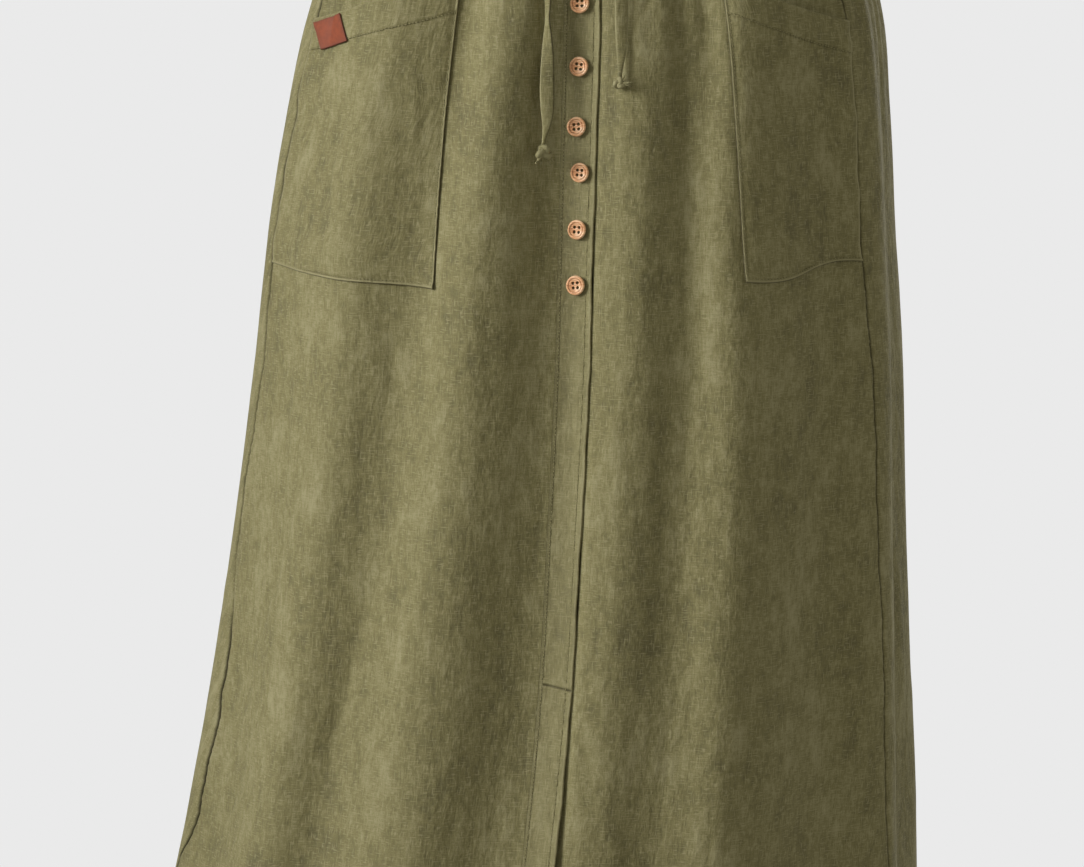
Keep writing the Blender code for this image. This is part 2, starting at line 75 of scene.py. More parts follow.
# Driving sizes of the garment, as its frame has them
SKIRT_LENGTH = 860.0
WAISTBAND_HEIGHT = 40.0
CLOTH = 1.2
BAND_CLOTH = 1.8
WAISTBAND_CLOTH = 3.0
SEAM_GAP = 0.3
PANEL_TOP = WAISTBAND_HEIGHT + 2 * SEAM_GAP
BAND_WIDTH_TOP = 27.0
BAND_WIDTH_HEM = 23.5
SLIT_TOP = 632.0

# Sections of the skirt: half width, depths to the front and back of the waist's centre, shift of the
# middle along X, squareness (2 is an ellipse), and the angles of the button band's middle and of the
# side seams on the wearer's right and left
SECTIONS = table(
    "drop half_width front back shift square band right_seam left_seam",
    (0, 140, 102, 104, 0, 2.00, -0.6, -62.0, 58.0),
    (42, 144, 106, 108, 0, 2.05, -0.5, -62.0, 58.0),
    (75, 168, 118, 126, 0, 2.15, -0.4, -62.0, 58.0),
    (110, 190, 130, 142, 0, 2.25, -0.2, -62.5, 58.0),
    (160, 206, 142, 156, 0, 2.35, 0.0, -64.0, 58.5),
    (230, 217, 152, 165, -4, 2.40, 0.8, -66.5, 59.0),
    (320, 227, 162, 171, -9, 2.40, 1.6, -68.0, 60.0),
    (420, 237, 174, 178, -12, 2.35, 1.8, -68.0, 61.3),
    (520, 245, 187, 187, -17, 2.30, 2.0, -69.2, 62.8),
    (640, 256, 201, 200, -24, 2.25, 2.2, -67.0, 64.0),
    (760, 269, 216, 215, -33, 2.20, 1.8, -67.4, 65.0),
    (860, 281, 228, 228, -42, 2.20, 1.4, -73.0, 65.5),
)

# Folds, crest and trough in turn: angle and height off the section at the hip, knee and hem
FOLD_DROPS = (42.0, 200.0, 450.0, 860.0)
FOLDS = table(
    "hip knee hem hip_rise knee_rise hem_rise",
    (-71, -72, -73, 5, 4, 7), (-54, -57, -60, -2, -3, -4), (-39, -40, -44, 5, 8, 9),
    (-24, -28, -36, -7, -6, -6), (-14.2, -16.2, -20, 9, 11, 12), (-2.5, 0, -2, -11, -13, -12),
    (13, 12, 10, 5.5, 2.8, 0), (22, 20.8, 18, -4.5, -4.2, -3), (29, 29.5, 29, 5, 8.5, 9),
    (48, 50, 50, -7, -8.5, -11), (65, 66, 66, 3, 5, 7), (79, 79, 79, -3, -5, -7), (93, 94, 95, 2, 3, 5),
    (106, 107, 107, -3, -6, -10), (119, 121, 120, 3, 6, 10), (131, 133, 134, -3, -6, -9),
    (145, 146, 149, 5, 8, 13), (158, 159, 162, -4, -7, -11), (170, 170, 173, 3, 6, 9),
    (183, 182, 184, -3, -5, -9), (197, 196, 198, 5, 8, 12), (211, 211, 210, -3, -6, -9),
    (224, 225, 223, 3, 6, 10), (238, 239, 236, -3, -6, -9), (251, 252, 250, 4, 6, 10),
    (267, 268, 268, -3, -5, -8),
)

# Gathers: how many each stretch of cloth has, and how deep they are at each drop. A front's stretches
# run from the side seam to the line of its pocket's inner edge, and on to the button band
GATHERS = {"right": (7, 3), "left": (6, 4), "back": (28,)}
GATHER_DROPS = (0.0, 40.0, 70.0, 110.0, 160.0, 220.0, 320.0)
GATHER_DEPTHS = (1.3, 1.9, 2.2, 1.9, 1.2, 0.6, 0.0)
GATHER_RELEASE = 3.0         # degrees beside the flat button band over which they set in

# How far the cloth dips under the band, and in how many degrees beside the band's edge it comes out
DIPS = {"under": (1.8, 1.4), "waist_under": (3.8, 2.6)}
LAP_REACH = 3.0              # how far past the band's edge the finer columns of the lap run
# Distances before the lap's end at which its columns stand, finer at the band's edge
LAP_COLUMNS = (30, 26, 22, 18, 14, 11, 9, 7.5, 6, 5, 4.2, 3.6, 3, 2.4, 1.8, 1.2, 0.6)
SLIT_LIFT = 7.0
SLIT_SPREAD = 14.0           # degrees beside the slit that lift with it

# Creases placed one by one: middle of each, its lean off the plumb line in degrees, its half length and half
# width, its height (a trough's is negative) and how far its middle bows aside
CREASES = table(
    "angle drop lean reach width rise bow",
    (-34.5, 655, -10, 110, 8, -1.9, 5), (-41, 690, -14, 95, 9, 1.5, -5), (-53, 575, -22, 90, 8, -1.7, 6),
    (-55.5, 740, -34, 45, 7, -1.6, -4), (-46, 235, -28, 75, 10, -1.4, 6), (-30, 760, -8, 80, 8, 1.2, -6),
    (-24, 560, -8, 150, 9, -1.2, 6), (8, 700, 12, 80, 6, -1.3, 5), (13, 735, 20, 60, 7, 1.2, -4),
    (24, 600, 6, 160, 8, 1.0, 8), (47, 420, -6, 130, 9, 1.1, -6), (49, 690, 8, 120, 9, -1.2, 8),
    (-50, 420, 10, 110, 10, 0.9, -6), (-33, 390, 16, 80, 7, -0.9, 6), (18, 330, -4, 120, 7, 0.9, 5),
    (112, 430, 8, 130, 9, 1.3, 8), (128, 660, -14, 120, 9, -1.6, 8), (150, 520, -6, 150, 8, 1.3, -8),
    (165, 730, 16, 90, 8, 1.4, 6), (178, 400, 5, 130, 8, -1.1, 6), (205, 640, 12, 130, 9, 1.4, -8),
    (218, 460, -10, 110, 8, -1.2, 6), (232, 720, -18, 100, 9, 1.6, 8), (247, 540, 8, 140, 9, -1.3, -6),
    (82, 600, 8, 130, 9, 1.2, 6), (272, 650, -8, 120, 9, 1.2, -6), (40.5, 440, 2, 260, 8, 1.1, 5),
    (34, 640, -3, 170, 8, -0.8, -6), (57, 560, 4, 200, 9, 0.9, 7), (-63, 500, -3, 180, 9, 0.9, 6),
    (-13, 410, 5, 110, 6, -0.9, 4), (-31, 250, 9, 90, 6, 0.8, 5), (-45, 270, -7, 100, 7, -0.8, -5),
    (25, 240, 6, 80, 6, 0.8, 4),
)
MM_PER_DEGREE = 4.6          # typical arc of one degree, for widths and leans of creases

# Uneven ground of the cloth: steps round the skirt, height of a step, and depth
UNEVENNESS = table("steps height depth seed", (46, 150, 1.1, 3), (120, 46, 0.35, 5), (300, 16, 0.12, 8))

# Patch pockets: drops of the corners, how far the inner edge is from the side seam, as a share of
# the front panel's width, how far the bottom's ends bend off a straight line, the layer of the lap
# below, widths for the grid and for the sewn edge, and the size of the flat piece in metres
Pocket = namedtuple("Pocket", "seam_top inner_top seam_bottom inner_bottom share_top share_bottom sway "
                    "layer width sewn_width flat")
POCKETS = {
    "right": Pocket(169, 139, 345, 355, 0.646, 0.678, 0.8, "over", 165.0, 161.5, (0.158, 0.2)),
    "left": Pocket(168, 139, 339, 348, 0.563, 0.528, -3.0, "under", 135.0, 132.0, (0.122, 0.196)),
}
POCKET_EDGE_STEPS = (0.3, 0.7, 1.1, 1.6, 2.2, 2.8, 3.6)
POCKET_SEAM_SHARE = 0.012
POCKET_SEWN = 0.12           # how far off the front the sewn edges lie
POCKET_CLEARANCE = 0.9
POCKET_GAPE = 4.0
POCKET_HOLLOW = 4.0
POCKET_HEM = 25.0            # depth of the turned hem at the opening's outer end
POCKET_HEM_TAPER = 6.5       # how much less it is at the inner end
LABEL_WIDTH = 31.0
LABEL_HEIGHT = 20.5
LABEL_THICKNESS = 1.2
LABEL_START = 0.055
LABEL_SKEW = 0.13
LABEL_TILT = 0.011
LABEL_OFF = CLOTH / 2 + 0.95 + LABEL_THICKNESS / 2
LABEL_STITCH = 1.5           # distance of the pressed row from the label's edge

# Buttons: drop of each, and how far it sits beside the band's middle
BUTTONS = table("drop aside", (20, 0.0), (68, 0.0), (111, 0.0), (154, -1.0), (198, -0.5),
                (240, -1.0), (272, 2.5), (312, 1.6), (351, 1.6))
BUTTON_HEIGHT = 2.7
# Half of a button's section, as radius and height: back, rounded rim, ring groove, bead and dish
BUTTON_PROFILE = (
    (5.6, 0.0), (6.3, 0.15), (6.8, 0.6), (7.0, 1.2), (6.95, 1.8), (6.65, 2.35), (6.2, 2.62), (5.75, 2.66),
    (5.45, 2.5), (5.2, 2.0), (4.9, 1.85), (4.65, 2.05), (4.4, 2.3), (4.0, 2.2), (3.5, 2.0), (2.8, 1.86),
)
BUTTON_SIDES = 56
HOLE_SPACING = 3.4
HOLE_RADIUS = 1.15
HOLE_SIDES = 14
HOLE_DEPTH = 21.0

# Drawstring ends: distance aside of the waist's centre at the hole and at the knot, the knot's drop,
# how far it stands off the cloth, over how long a stretch of string, and the layer of the lap below
STRING_THICKNESS = 1.6
STRING_CLEARANCE = 0.8
STRING_EXIT_DROP = 24.0
STRING_STEPS = 120
TAPE_COLUMNS = 11
DrawstringEnd = namedtuple("DrawstringEnd", "aside knot_aside knot_drop stand_off reach layer")
DRAWSTRING_ENDS = {
    "right": DrawstringEnd(-25.0, -28.0, 252.0, 7.0, 90.0, "over"),
    "left": DrawstringEnd(29.0, 30.5, 205.0, 2.4, 30.0, "under"),
}
# How each end turns as it hangs: share of its length, turn of the tape's face in degrees (0 lies
# flat on the cloth), width and how far it strays aside
TURN_COLUMNS = "share turn width stray"
TAPE_TURNS = {
    "right": table(
        TURN_COLUMNS, (0.0, 0, 8.5, 0), (0.3, 10, 8.5, 0.0), (0.5, 50, 7.0, 0.0), (0.61, 78, 5.0, 0.2),
        (0.67, 62, 7.2, 0.2), (0.75, 34, 9.2, 0.0), (0.833, 26, 10.2, -0.8), (0.889, 26, 9.4, -0.8),
        (0.938, 28, 6.2, -1.2), (0.97, 30, 3.6, -2.4), (1.0, 30, 2.2, -3.4)),
    "left": table(
        TURN_COLUMNS, (0.0, 0, 8.5, 0), (0.35, -8, 8.5, -0.5), (0.6, -28, 9.4, -0.4), (0.77, -28, 9.4, -0.6),
        (0.895, -20, 7.0, -0.4), (0.965, -10, 3.6, -1.0), (1.0, 0, 2.2, -1.4)),
}
# Knots: size, how wide they spread, drop below the tape's end, and the ends of their tails beside,
# below and off the knot, each with its radius
Knot = namedtuple("Knot", "size wide below tails")
KNOTS = {
    "right": Knot(1.2, 1.5, 5.6, ((-5.0, 5.6, 0.8, 1.6), (-1.8, 6.4, 0.4, 1.3), (4.6, 6.6, 0.6, 1.5),
                                  (6.6, 4.8, 0.2, 1.1))),
    "left": Knot(1.0, 1.14, 4.2, ((3.6, -5.8, 0.8, 1.2), (7.8, -0.8, 0.8, 1.1), (6.4, 1.2, 0.2, 0.8))),
}
KNOT_POINTS = 72
TAIL_POINTS = 9
TAIL_STRANDS = 7

# Side seams: how hard the wearer's right one is drawn in at each drop, from 0 to 1, which also sets how dark
# its painted shadow line is, and how far, in degrees, it wanders off its line; the left one is even
SEAM_PLACES = table(
    "drop drawn shift",
    (40, 0.5, 0), (150, 0.9, 0), (185, 0.9, 0.2), (200, 0.35, 0.6), (218, 1.0, 0.2), (240, 1.0, 0.9),
    (285, 0.95, 0.8), (320, 0.7, 1.2), (420, 0.6, 0.8), (540, 0.6, -0.4), (575, 0.3, -0.6), (600, 0.4, 0),
    (622, 1.0, 0.6), (660, 1.0, 0), (684, 1.0, 0.9), (706, 1.0, -0.2), (748, 1.0, 0.3), (770, 1.0, -0.8),
    (790, 1.0, -3.0), (820, 1.0, -2.4), (860, 1.0, -0.6),
)
LEFT_SEAM_DRAWN = 0.55
SEAM_OPEN = 0.01             # degrees from a side seam's line to the edge of a panel
# Half widths of the painted shadow line that a seam shows on a panel beside it: the right seam's allowance
# stands open towards the back
SEAM_SHADOWS = {"front": 1.1, "right_back": 1.7, "left_back": 0.7}
SEAM_EDGE_STEPS = (0.35, 0.8, 1.4, 2.1, 3.0, 4.2, 5.6)

# Sewing
STITCH_PITCH = 2.6
STITCH_SHARE = 0.8           # share of the pitch that a stitch covers
STITCH_RADIUS = 0.42
STITCH_SIDES = 6
# Rings of a stitch: place along it, size and rise, all as shares
STITCH_RINGS = ((-1.0, 0.6, -0.4), (-0.42, 0.95, 0.0), (0.42, 0.95, 0.0), (1.0, 0.6, -0.4))
EDGE_STITCH = 2.2            # distance of edge stitching from an edge
BAND_FREE_STITCH = 4.5       # distance of the band's second row from its free edge
HEM_STITCH = 25.0
WAIST_STITCHES = (6.0, WAISTBAND_HEIGHT - 3.0)

# How far each piece's cloth is moved under the weave, so that no two pieces show the same stretch
BAND_WEAVE = (2000.0, 0.0)
WAISTBAND_WEAVE = (0.0, 3000.0)
POCKET_WEAVE = (5000.0, 0.0)
TAPE_WEAVE = (500.0, 0.0)

# Camera: where it looks, seen along its own turned axes from the waistband's top
AZIMUTH = 5.0
LOOKING_DOWN = 8.0
CAMERA_DISTANCE = 3200.0
LOOK_ASIDE = -40.0
LOOK_DROP = 478.0
CAMERA_LENS = 142.65
CAMERA_SENSOR = 36.0

# Lights: azimuth, elevation and distance in metres from the skirt's middle, size, colour, spread of
# the beam and the point it is aimed at. The key light's beam goes past the skirt's front, so that it
# fades towards the far left
SKIRT_MIDDLE = (0.0, 0.0, -0.4)
LIGHTS = table(
    "name azimuth elevation distance size colour spread aim",
    ("key", -58.0, 22.0, 5.0, 3.2, (1.0, 0.99, 0.985), 36.0, (0.7, -0.6, -0.1)),
    ("fill", 66.0, 5.0, 3.5, 2.0, (1.0, 0.98, 0.95), 180.0, SKIRT_MIDDLE),
    ("back", 158.0, 14.0, 4.5, 2.0, (1.0, 0.985, 0.96), 180.0, SKIRT_MIDDLE),
)
# The floor: its profile's flat rings in metres, the bend up into the backdrop and the wall's height
FLOOR_RINGS = (0.02, 1.5, 3.0, 5.0)
FLOOR_BEND = 1.4
FLOOR_WALL = 4.5
FLOOR_DROP = SKIRT_LENGTH + 270.0
FLOOR_SIDES = 64


def colour_property(name, description, code):
    """A colour, given as an sRGB hex code and kept linear."""
    values = [int(code[place:place + 2], 16) / 255 for place in (0, 2, 4)]
    linear = [v / 12.92 if v <= 0.04045 else ((v + 0.055) / 1.055) ** 2.4 for v in values]
    return FloatVectorProperty(name=name, description=description, subtype="COLOR", size=3, min=0, max=1,
                               default=linear)


def length_property(name, description, value):
    return FloatProperty(name=name, description=description, default=value * MM, min=0,
                         subtype="DISTANCE", unit="LENGTH", precision=4)


def power_property(name, description, value):
    return FloatProperty(name=name, description=description, default=value, min=0,
                         subtype="POWER", unit="POWER")


class SkirtCloth(PropertyGroup):
    """Fineness and colours of the linen."""
    front_step: length_property("Front step", "Spacing of the grid on the fronts", 2.7)
    back_step: length_property("Back step", "Spacing of the grid on the back", 4.4)
    fine_step: length_property("Fine step", "Spacing of the grid on pockets and band", 2.0)
    thread: length_property("Thread", "Width of a thread that shows", 0.9)
    slub: length_property("Slub", "Length over which a thread keeps its thickness", 11.0)
    shade: colour_property("Shaded thread", "Darkest threads of the linen", "6b6644")
    body: colour_property("Body", "Middle colour of the linen", "857f54")
    light: colour_property("Light thread", "Palest threads of the linen", "a29c75")
    # painted shade: the colour of the shadow painted into seams, under turned edges, in laps and creases
    seam: colour_property("Seam", "The dark inside of seams and folded edges", "2b250a")


class SkirtTrim(PropertyGroup):
    """Colours of what is sewn on."""
    wood_dark: colour_property("Dark grain", "Dark grain of the buttons", "ce8c60")
    wood: colour_property("Wood", "Middle colour of the buttons", "efb785")
    wood_light: colour_property("Light grain", "Pale grain of the buttons", "ffdab5")
    leather: colour_property("Leather", "Face of the leather patch", "96431b")
    leather_edge: colour_property("Leather edge", "Darkened edge of the patch", "6b3523")
    # painted shade for the buttons' side wall and ring groove
    wood_side: colour_property("Button side", "Darker side wall of the buttons", "7d4d30")
    thread: colour_property("Thread", "Sewing thread", "9c9669")
    # painted shade of the needle holes
    hole: colour_property("Needle hole", "Dark needle hole at the end of a stitch", "2c2814")


class SkirtStage(PropertyGroup):
    """Floor, light and backdrop."""
    floor: colour_property("Floor", "Plain pale floor and backdrop", "eaeaea")
    key_power: power_property("Key light", "Power of the large soft light", 25.0)
    fill_power: power_property("Fill light", "Power of the weak light opposite", 6.0)
    back_power: power_property("Back light", "Power of the light behind the skirt", 60.0)
    ambient: FloatProperty(name="Ambient", description="Strength of the light from all round", default=0.29,
                           min=0)


def smooth_values(places, values, at):
    """Values on a smooth curve through a table's rows."""
    places = np.asarray(places, float)
    values = np.asarray(values, float)
    rows = np.arange(len(places))
    before = np.maximum(rows - 1, 0)
    after = np.minimum(rows + 1, len(places) - 1)
    slopes = (values[after] - values[before]) / (places[after] - places[before])
    at = np.clip(at, places[0], places[-1])
    row = np.clip(np.searchsorted(places, at, side="left") - 1, 0, len(places) - 2)
    span = places[row + 1] - places[row]
    t = (at - places[row]) / span
    start = (1 + 2 * t) * (1 - t) ** 2 * values[row] + t * (1 - t) ** 2 * span * slopes[row]
    end = t * t * (3 - 2 * t) * values[row + 1] - t * t * (1 - t) * span * slopes[row + 1]
    return start + end


def from_table(rows, name, at, by="drop"):
    """A table's column on a smooth curve, read at places along another of its columns."""
    return smooth_values([getattr(row, by) for row in rows], [getattr(row, name) for row in rows], at)


def ease(amount):
    """0 to 1 with a soft start and end."""
    amount = np.clip(amount, 0.0, 1.0)
    return amount * amount * (3 - 2 * amount)


def bell(distance, width):
    """1 at no distance, and fading on both sides over a width."""
    return np.exp(-(distance / width) ** 2)


def unit(vectors):
    return vectors / np.maximum(np.linalg.norm(vectors, axis=-1, keepdims=True), 1e-9)


# The tables' curves, worked out once for every millimetre of drop
DROPS = np.arange(-10.0, SKIRT_LENGTH + 11.0)
SECTION_CURVES = {name: from_table(SECTIONS, name, DROPS) for name in SECTIONS[0]._fields}
FOLD_LINES = [smooth_values(FOLD_DROPS, (f.hip, f.hip, f.knee, f.hem), DROPS) for f in FOLDS]
FOLD_RISES = [smooth_values(FOLD_DROPS, (0.0, f.hip_rise, f.knee_rise, f.hem_rise), DROPS) for f in FOLDS]
FOLD_LINES.append(FOLD_LINES[0] + 360)
FOLD_RISES.append(FOLD_RISES[0])


def section_value(name, drop):
    return np.interp(drop, DROPS, SECTION_CURVES[name])


def degrees_at_front(distance, drop):
    return np.degrees(distance / section_value("half_width", drop))


def band_edges(drop):
    """Angles of the band's stitched edge and of its free edge, on the wearer's left."""
    width = BAND_WIDTH_TOP + (BAND_WIDTH_HEM - BAND_WIDTH_TOP) * drop / SKIRT_LENGTH
    middle = section_value("band", drop)
    half = degrees_at_front(width / 2, drop)
    return middle - half, middle + half


def front_marks(side, drop):
    """Angles across a front panel: its side seam, its pocket's inner edge and the button band."""
    pocket = POCKETS[side]
    way = np.clip((drop - pocket.inner_top) / (pocket.inner_bottom - pocket.inner_top), 0.0, 1.0)
    share = pocket.share_top + (pocket.share_bottom - pocket.share_top) * way
    seam = section_value(side + "_seam", drop)
    edge = band_edges(drop)[0 if side == "right" else 1]
    return seam, seam + (edge - seam) * share, edge


def section_points(angle, drop):
    """Points of the plain section, with no fold."""
    turn = np.radians(angle)
    side = np.sin(turn)
    ahead = np.cos(turn)
    square = section_value("square", drop)
    reach = (np.abs(side) ** square + np.abs(ahead) ** square) ** (-1 / square)
    depth = np.where(ahead > 0, section_value("front", drop), section_value("back", drop))
    x = section_value("shift", drop) + section_value("half_width", drop) * side * reach
    return np.stack((x, -depth * ahead * reach, -drop), axis=-1)


def fold_height(angle, drop):
    """Height of the large folds off the section."""
    lines = [np.interp(drop, DROPS, line) for line in FOLD_LINES]
    rises = [np.interp(drop, DROPS, rise) for rise in FOLD_RISES]
    angle = (angle - lines[0]) % 360 + lines[0]
    height = np.zeros_like(angle)
    for start, end, low, high in zip(lines, lines[1:], rises, rises[1:]):
        share = 0.5 - 0.5 * np.cos(np.pi * np.clip((angle - start) / (end - start), 0.0, 1.0))
        height = np.where((angle >= start) & (angle <= end), low + (high - low) * share, height)
    return height


def gather_depth(drop):
    return smooth_values(GATHER_DROPS, GATHER_DEPTHS, drop)


def gather_height(angle, drop):
    """Height of the fine gathers, which stop on each side of the flat button band."""
    right_seam = section_value("right_seam", drop)
    left_seam = section_value("left_seam", drop)
    right_edge, left_edge = band_edges(drop)
    around = (angle - right_seam) % 360 + right_seam
    stretches = (
        (front_marks("right", drop), GATHERS["right"], around <= right_edge,
         (right_edge - around) / GATHER_RELEASE),
        (front_marks("left", drop)[::-1], GATHERS["left"][::-1],
         (around > left_edge) & (around <= left_seam), (around - left_edge) / GATHER_RELEASE),
        ((left_seam, 360 + right_seam), GATHERS["back"], around > left_seam, np.ones_like(around)),
    )
    height = np.zeros_like(around)
    for marks, counts, inside, release in stretches:
        count = np.zeros_like(around)
        for start, end, gathers in zip(marks, marks[1:], counts):
            count = count + gathers * np.clip((around - start) / (end - start), 0.0, 1.0)
        uneven = 0.72 + 0.16 * np.sin(2.4 * count + 1.0) + 0.12 * np.sin(0.9 * count)
        later = drop * (1 + 0.16 * np.sin(1.7 * count) + 0.12 * np.sin(0.71 * count + 2))
        depth = gather_depth(np.where(drop < 60, drop, np.maximum(later, 60)))
        height = np.where(inside, depth * uneven * ease(release) * np.cos(2 * np.pi * count), height)
    return height


def layer_height(angle, drop, layer):
    """How far the lapped front stands off the section: over is the band's side, under the other."""
    if layer == "back":
        return np.zeros_like(angle)
    right_edge, left_edge = band_edges(drop)
    if layer == "over":
        opened = ease((drop - SLIT_TOP) / (SKIRT_LENGTH - SLIT_TOP))
        return SLIT_LIFT * opened * (1 - ease(np.maximum(right_edge - angle, 0.0) / SLIT_SPREAD))
    dip, release = DIPS[layer]
    return -dip * (1 - ease((angle - left_edge) / release))


def soft_noise(angle, drop, steps, height, seed):
    """Smooth noise from -1 to 1, which closes round the skirt."""
    cells = np.random.default_rng(seed).uniform(-1, 1, (128, steps))
    across = (angle % 360) / 360 * steps
    down = drop / height + 4
    column = np.floor(across).astype(int)
    row = np.floor(down).astype(int)
    s = ease(across - column)
    t = ease(down - row)
    left, right = column % steps, (column + 1) % steps
    upper = cells[row, left] * (1 - s) + cells[row, right] * s
    lower = cells[row + 1, left] * (1 - s) + cells[row + 1, right] * s
    return upper * (1 - t) + lower * t


def crease_height(angle, drop):
    """Height of the listed creases, each a soft ridge or trough that fades at its ends."""
    height = np.zeros_like(angle)
    for crease in CREASES:
        aside = ((angle - crease.angle + 180) % 360 - 180) * MM_PER_DEGREE
        below = drop - crease.drop
        lean = math.radians(crease.lean)
        along = (aside * math.sin(lean) + below * math.cos(lean)) / crease.reach
        across = aside * math.cos(lean) - below * math.sin(lean) - crease.bow * (1 - along ** 2)
        height = height + crease.rise * ease(1 - np.abs(along)) * bell(across, crease.width)
    return height


def uneven_height(angle, drop):
    """The cloth's uneven ground and creases, which die away at the waist and beside the band."""
    height = crease_height(angle, drop)
    for ground in UNEVENNESS:
        height = height + ground.depth * soft_noise(angle, drop, ground.steps, ground.height, ground.seed)
    right_edge, left_edge = band_edges(drop)
    beside = np.maximum(right_edge - angle, angle - left_edge)
    return height * ease((drop - 40) / 80) * (0.25 + 0.75 * ease((beside + 1) / 5))


def cloth_middle(angle, drop, layer, gathered=1.0, plain=False):
    """Points in the middle of the cloth's wall. Plain cloth has its folds and nothing finer."""
    along = section_points(angle + 0.25, drop) - section_points(angle - 0.25, drop)
    outward = unit(np.stack((along[..., 1], -along[..., 0], np.zeros_like(angle)), axis=-1))
    height = fold_height(angle, drop) + layer_height(angle, drop, layer)
    if not plain:
        height = height + uneven_height(angle, drop) + gather_height(angle, drop) * gathered
    return section_points(angle, drop) + outward * height[..., None]


def cloth_normal(angle, drop, layer, gathered=1.0, plain=False):
    look = (layer, gathered, plain)
    across = cloth_middle(angle + 0.3, drop, *look) - cloth_middle(angle - 0.3, drop, *look)
    down = cloth_middle(angle, drop + 2.0, *look) - cloth_middle(angle, drop - 2.0, *look)
    return unit(np.cross(down, across))


def to_frame(points):
    """Points in metres in the frame, whose origin is the waistband's middle."""
    return (points + UP * WAISTBAND_HEIGHT / 2) * MM


def eased_steps(total, step, edges=(0.35, 0.8, 1.5)):
    """Places from 0 to a total at about equal steps, with finer ones at both ends."""
    inner = np.linspace(edges[-1], total - edges[-1], max(int(round(total / step)), 2))
    near = [0.0] + list(edges[:-1])
    return np.array(near + list(inner) + [total - place for place in near[::-1]])


def rounding(distance, radius):
    """Height of a rounded edge's outer side: 0 at the edge and 1 past its radius."""
    return np.maximum(np.sqrt(1 - (1 - np.clip(distance / radius, 0, 1)) ** 2), 0.1)


def nearest(*distances):
    return np.minimum.reduce(np.broadcast_arrays(*distances))


def new_object(name, mesh, material, *replaced, slot="linen"):
    mesh.materials.append(material)
    piece = bpy.data.objects.new(name, mesh)
    bpy.context.scene.collection.objects.link(piece)
    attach(piece, "root")
    if replaced:
        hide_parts(*replaced)
    return piece


def mark_points(mesh, **marks):
    """Give a mesh's points marks from 0 to 1, which its material reads by name."""
    for mark, values in marks.items():
        values = np.clip(values, 0, 1).astype(np.float32).ravel()
        mesh.attributes.new(mark, "FLOAT", "POINT").data.foreach_set("value", values)


def mesh_from(name, points, faces, flat, **marks):
    """A smooth mesh with its places on the flat cloth, in metres, and marks of its points."""
    mesh = bpy.data.meshes.new(name)
    mesh.from_pydata(points.reshape(-1, 3).tolist(), [], faces)
    corner = np.empty(len(mesh.loops), dtype=np.int32)
    mesh.loops.foreach_get("vertex_index", corner)
    layer = mesh.uv_layers.new(name="cloth")
    layer.data.foreach_set("uv", flat.reshape(-1, 2)[corner].astype(np.float32).ravel())
    mark_points(mesh, **marks)
    mesh.shade_smooth()
    mesh.update()
    return mesh


def shell_mesh(name, outer, inner, flat, **marks):
    """A closed wall between two grids of points with the same rows and columns."""
    rows, columns = outer.shape[:2]
    number = np.arange(rows * columns).reshape(rows, columns)
    front = np.stack((number[:-1, :-1], number[1:, :-1], number[1:, 1:], number[:-1, 1:]), axis=-1)
    front = front.reshape(-1, 4)
    back = front[:, ::-1] + rows * columns
    rim = np.concatenate((number[0, ::-1], number[1:, 0], number[-1, 1:], number[::-1, -1][1:]))
    far = rim + rows * columns
    faces = np.concatenate((front, back, np.stack((rim[:-1], far[:-1], far[1:], rim[1:]), axis=-1)))
    points = np.concatenate((outer.reshape(-1, 3), inner.reshape(-1, 3)))
    first, second, third, fourth = (points[faces[:, corner]] for corner in range(4))
    if (first * (np.cross(second, third) + np.cross(third, fourth))).sum() < 0:
        faces = faces[:, ::-1]
    flat = np.tile(flat.reshape(-1, 2), (2, 1))
    both = {mark: np.tile(values.ravel(), 2) for mark, values in marks.items()}
    return mesh_from(name, to_frame(points), faces.tolist(), flat, **both)


def make_wall(name, node_name, material, middle, normal, lift, half, flat, inward=None, moved=(0.0, 0.0),
              slot="linen", **marks):
    """A piece with a wall on both sides of its middle: lift moves the outer side's middle along the
    normal, and inward the inner side's where that differs."""
    inward = lift if inward is None else inward
    outer = middle + normal * (lift + half)[..., None]
    inner = middle + normal * (inward - half)[..., None]
    flat = (np.stack(flat, axis=-1) + np.array(moved)) * MM
    mesh = shell_mesh(name, outer, inner, flat, **marks)
    return new_object(name, mesh, material, node_name, slot=slot)


def line_lengths(points):
    """Distances along a line of points, from its first."""
    return np.concatenate(([0.0], np.cumsum(np.linalg.norm(np.diff(points, axis=0), axis=-1))))


def grid_lengths(points):
    """Distances along each row of a grid of points, from its first column."""
    steps = np.linalg.norm(np.diff(points, axis=1), axis=-1)
    return np.concatenate((np.zeros((len(points), 1)), np.cumsum(steps, axis=1)), axis=1)


def equal_shares(start, end, drop, step):
    """Shares of a stretch round the skirt that lie at equal steps of cloth, finer at both ends."""
    angles = np.linspace(start, end, 400)
    length = line_lengths(section_points(angles, np.full_like(angles, drop)))
    return np.interp(eased_steps(length[-1], step, SEAM_EDGE_STEPS), length, np.linspace(0.0, 1.0, 400))


def angle_grid(start, end, shares, drops):
    """Grids of angles and drops: shares of the way from a start to an end at each drop."""
    angle = start[:, None] + (end - start)[:, None] * shares[None, :]
    return angle, np.repeat(drops[:, None], len(shares), axis=1)


def lap_waver(drop):
    """How far the band's free edge wanders, as its stitching draws it in."""
    return 0.25 * np.sin(drop / 17.0) + 0.2 * np.sin(drop / 6.1 + 1) + 0.2 * np.sin(drop / 41.0)


def seam_pucker(drop, distance, seed):
    """Small waves that the sewing draws into the cloth beside a seam."""
    wave = np.sin(drop * 2 * np.pi / 7.5 + 1.6 * np.sin(drop / 23.0 + seed) + seed)
    return 0.3 * wave * (0.6 + 0.4 * np.sin(drop / 41.0 + 2 * seed)) * bell(distance, 6.0)


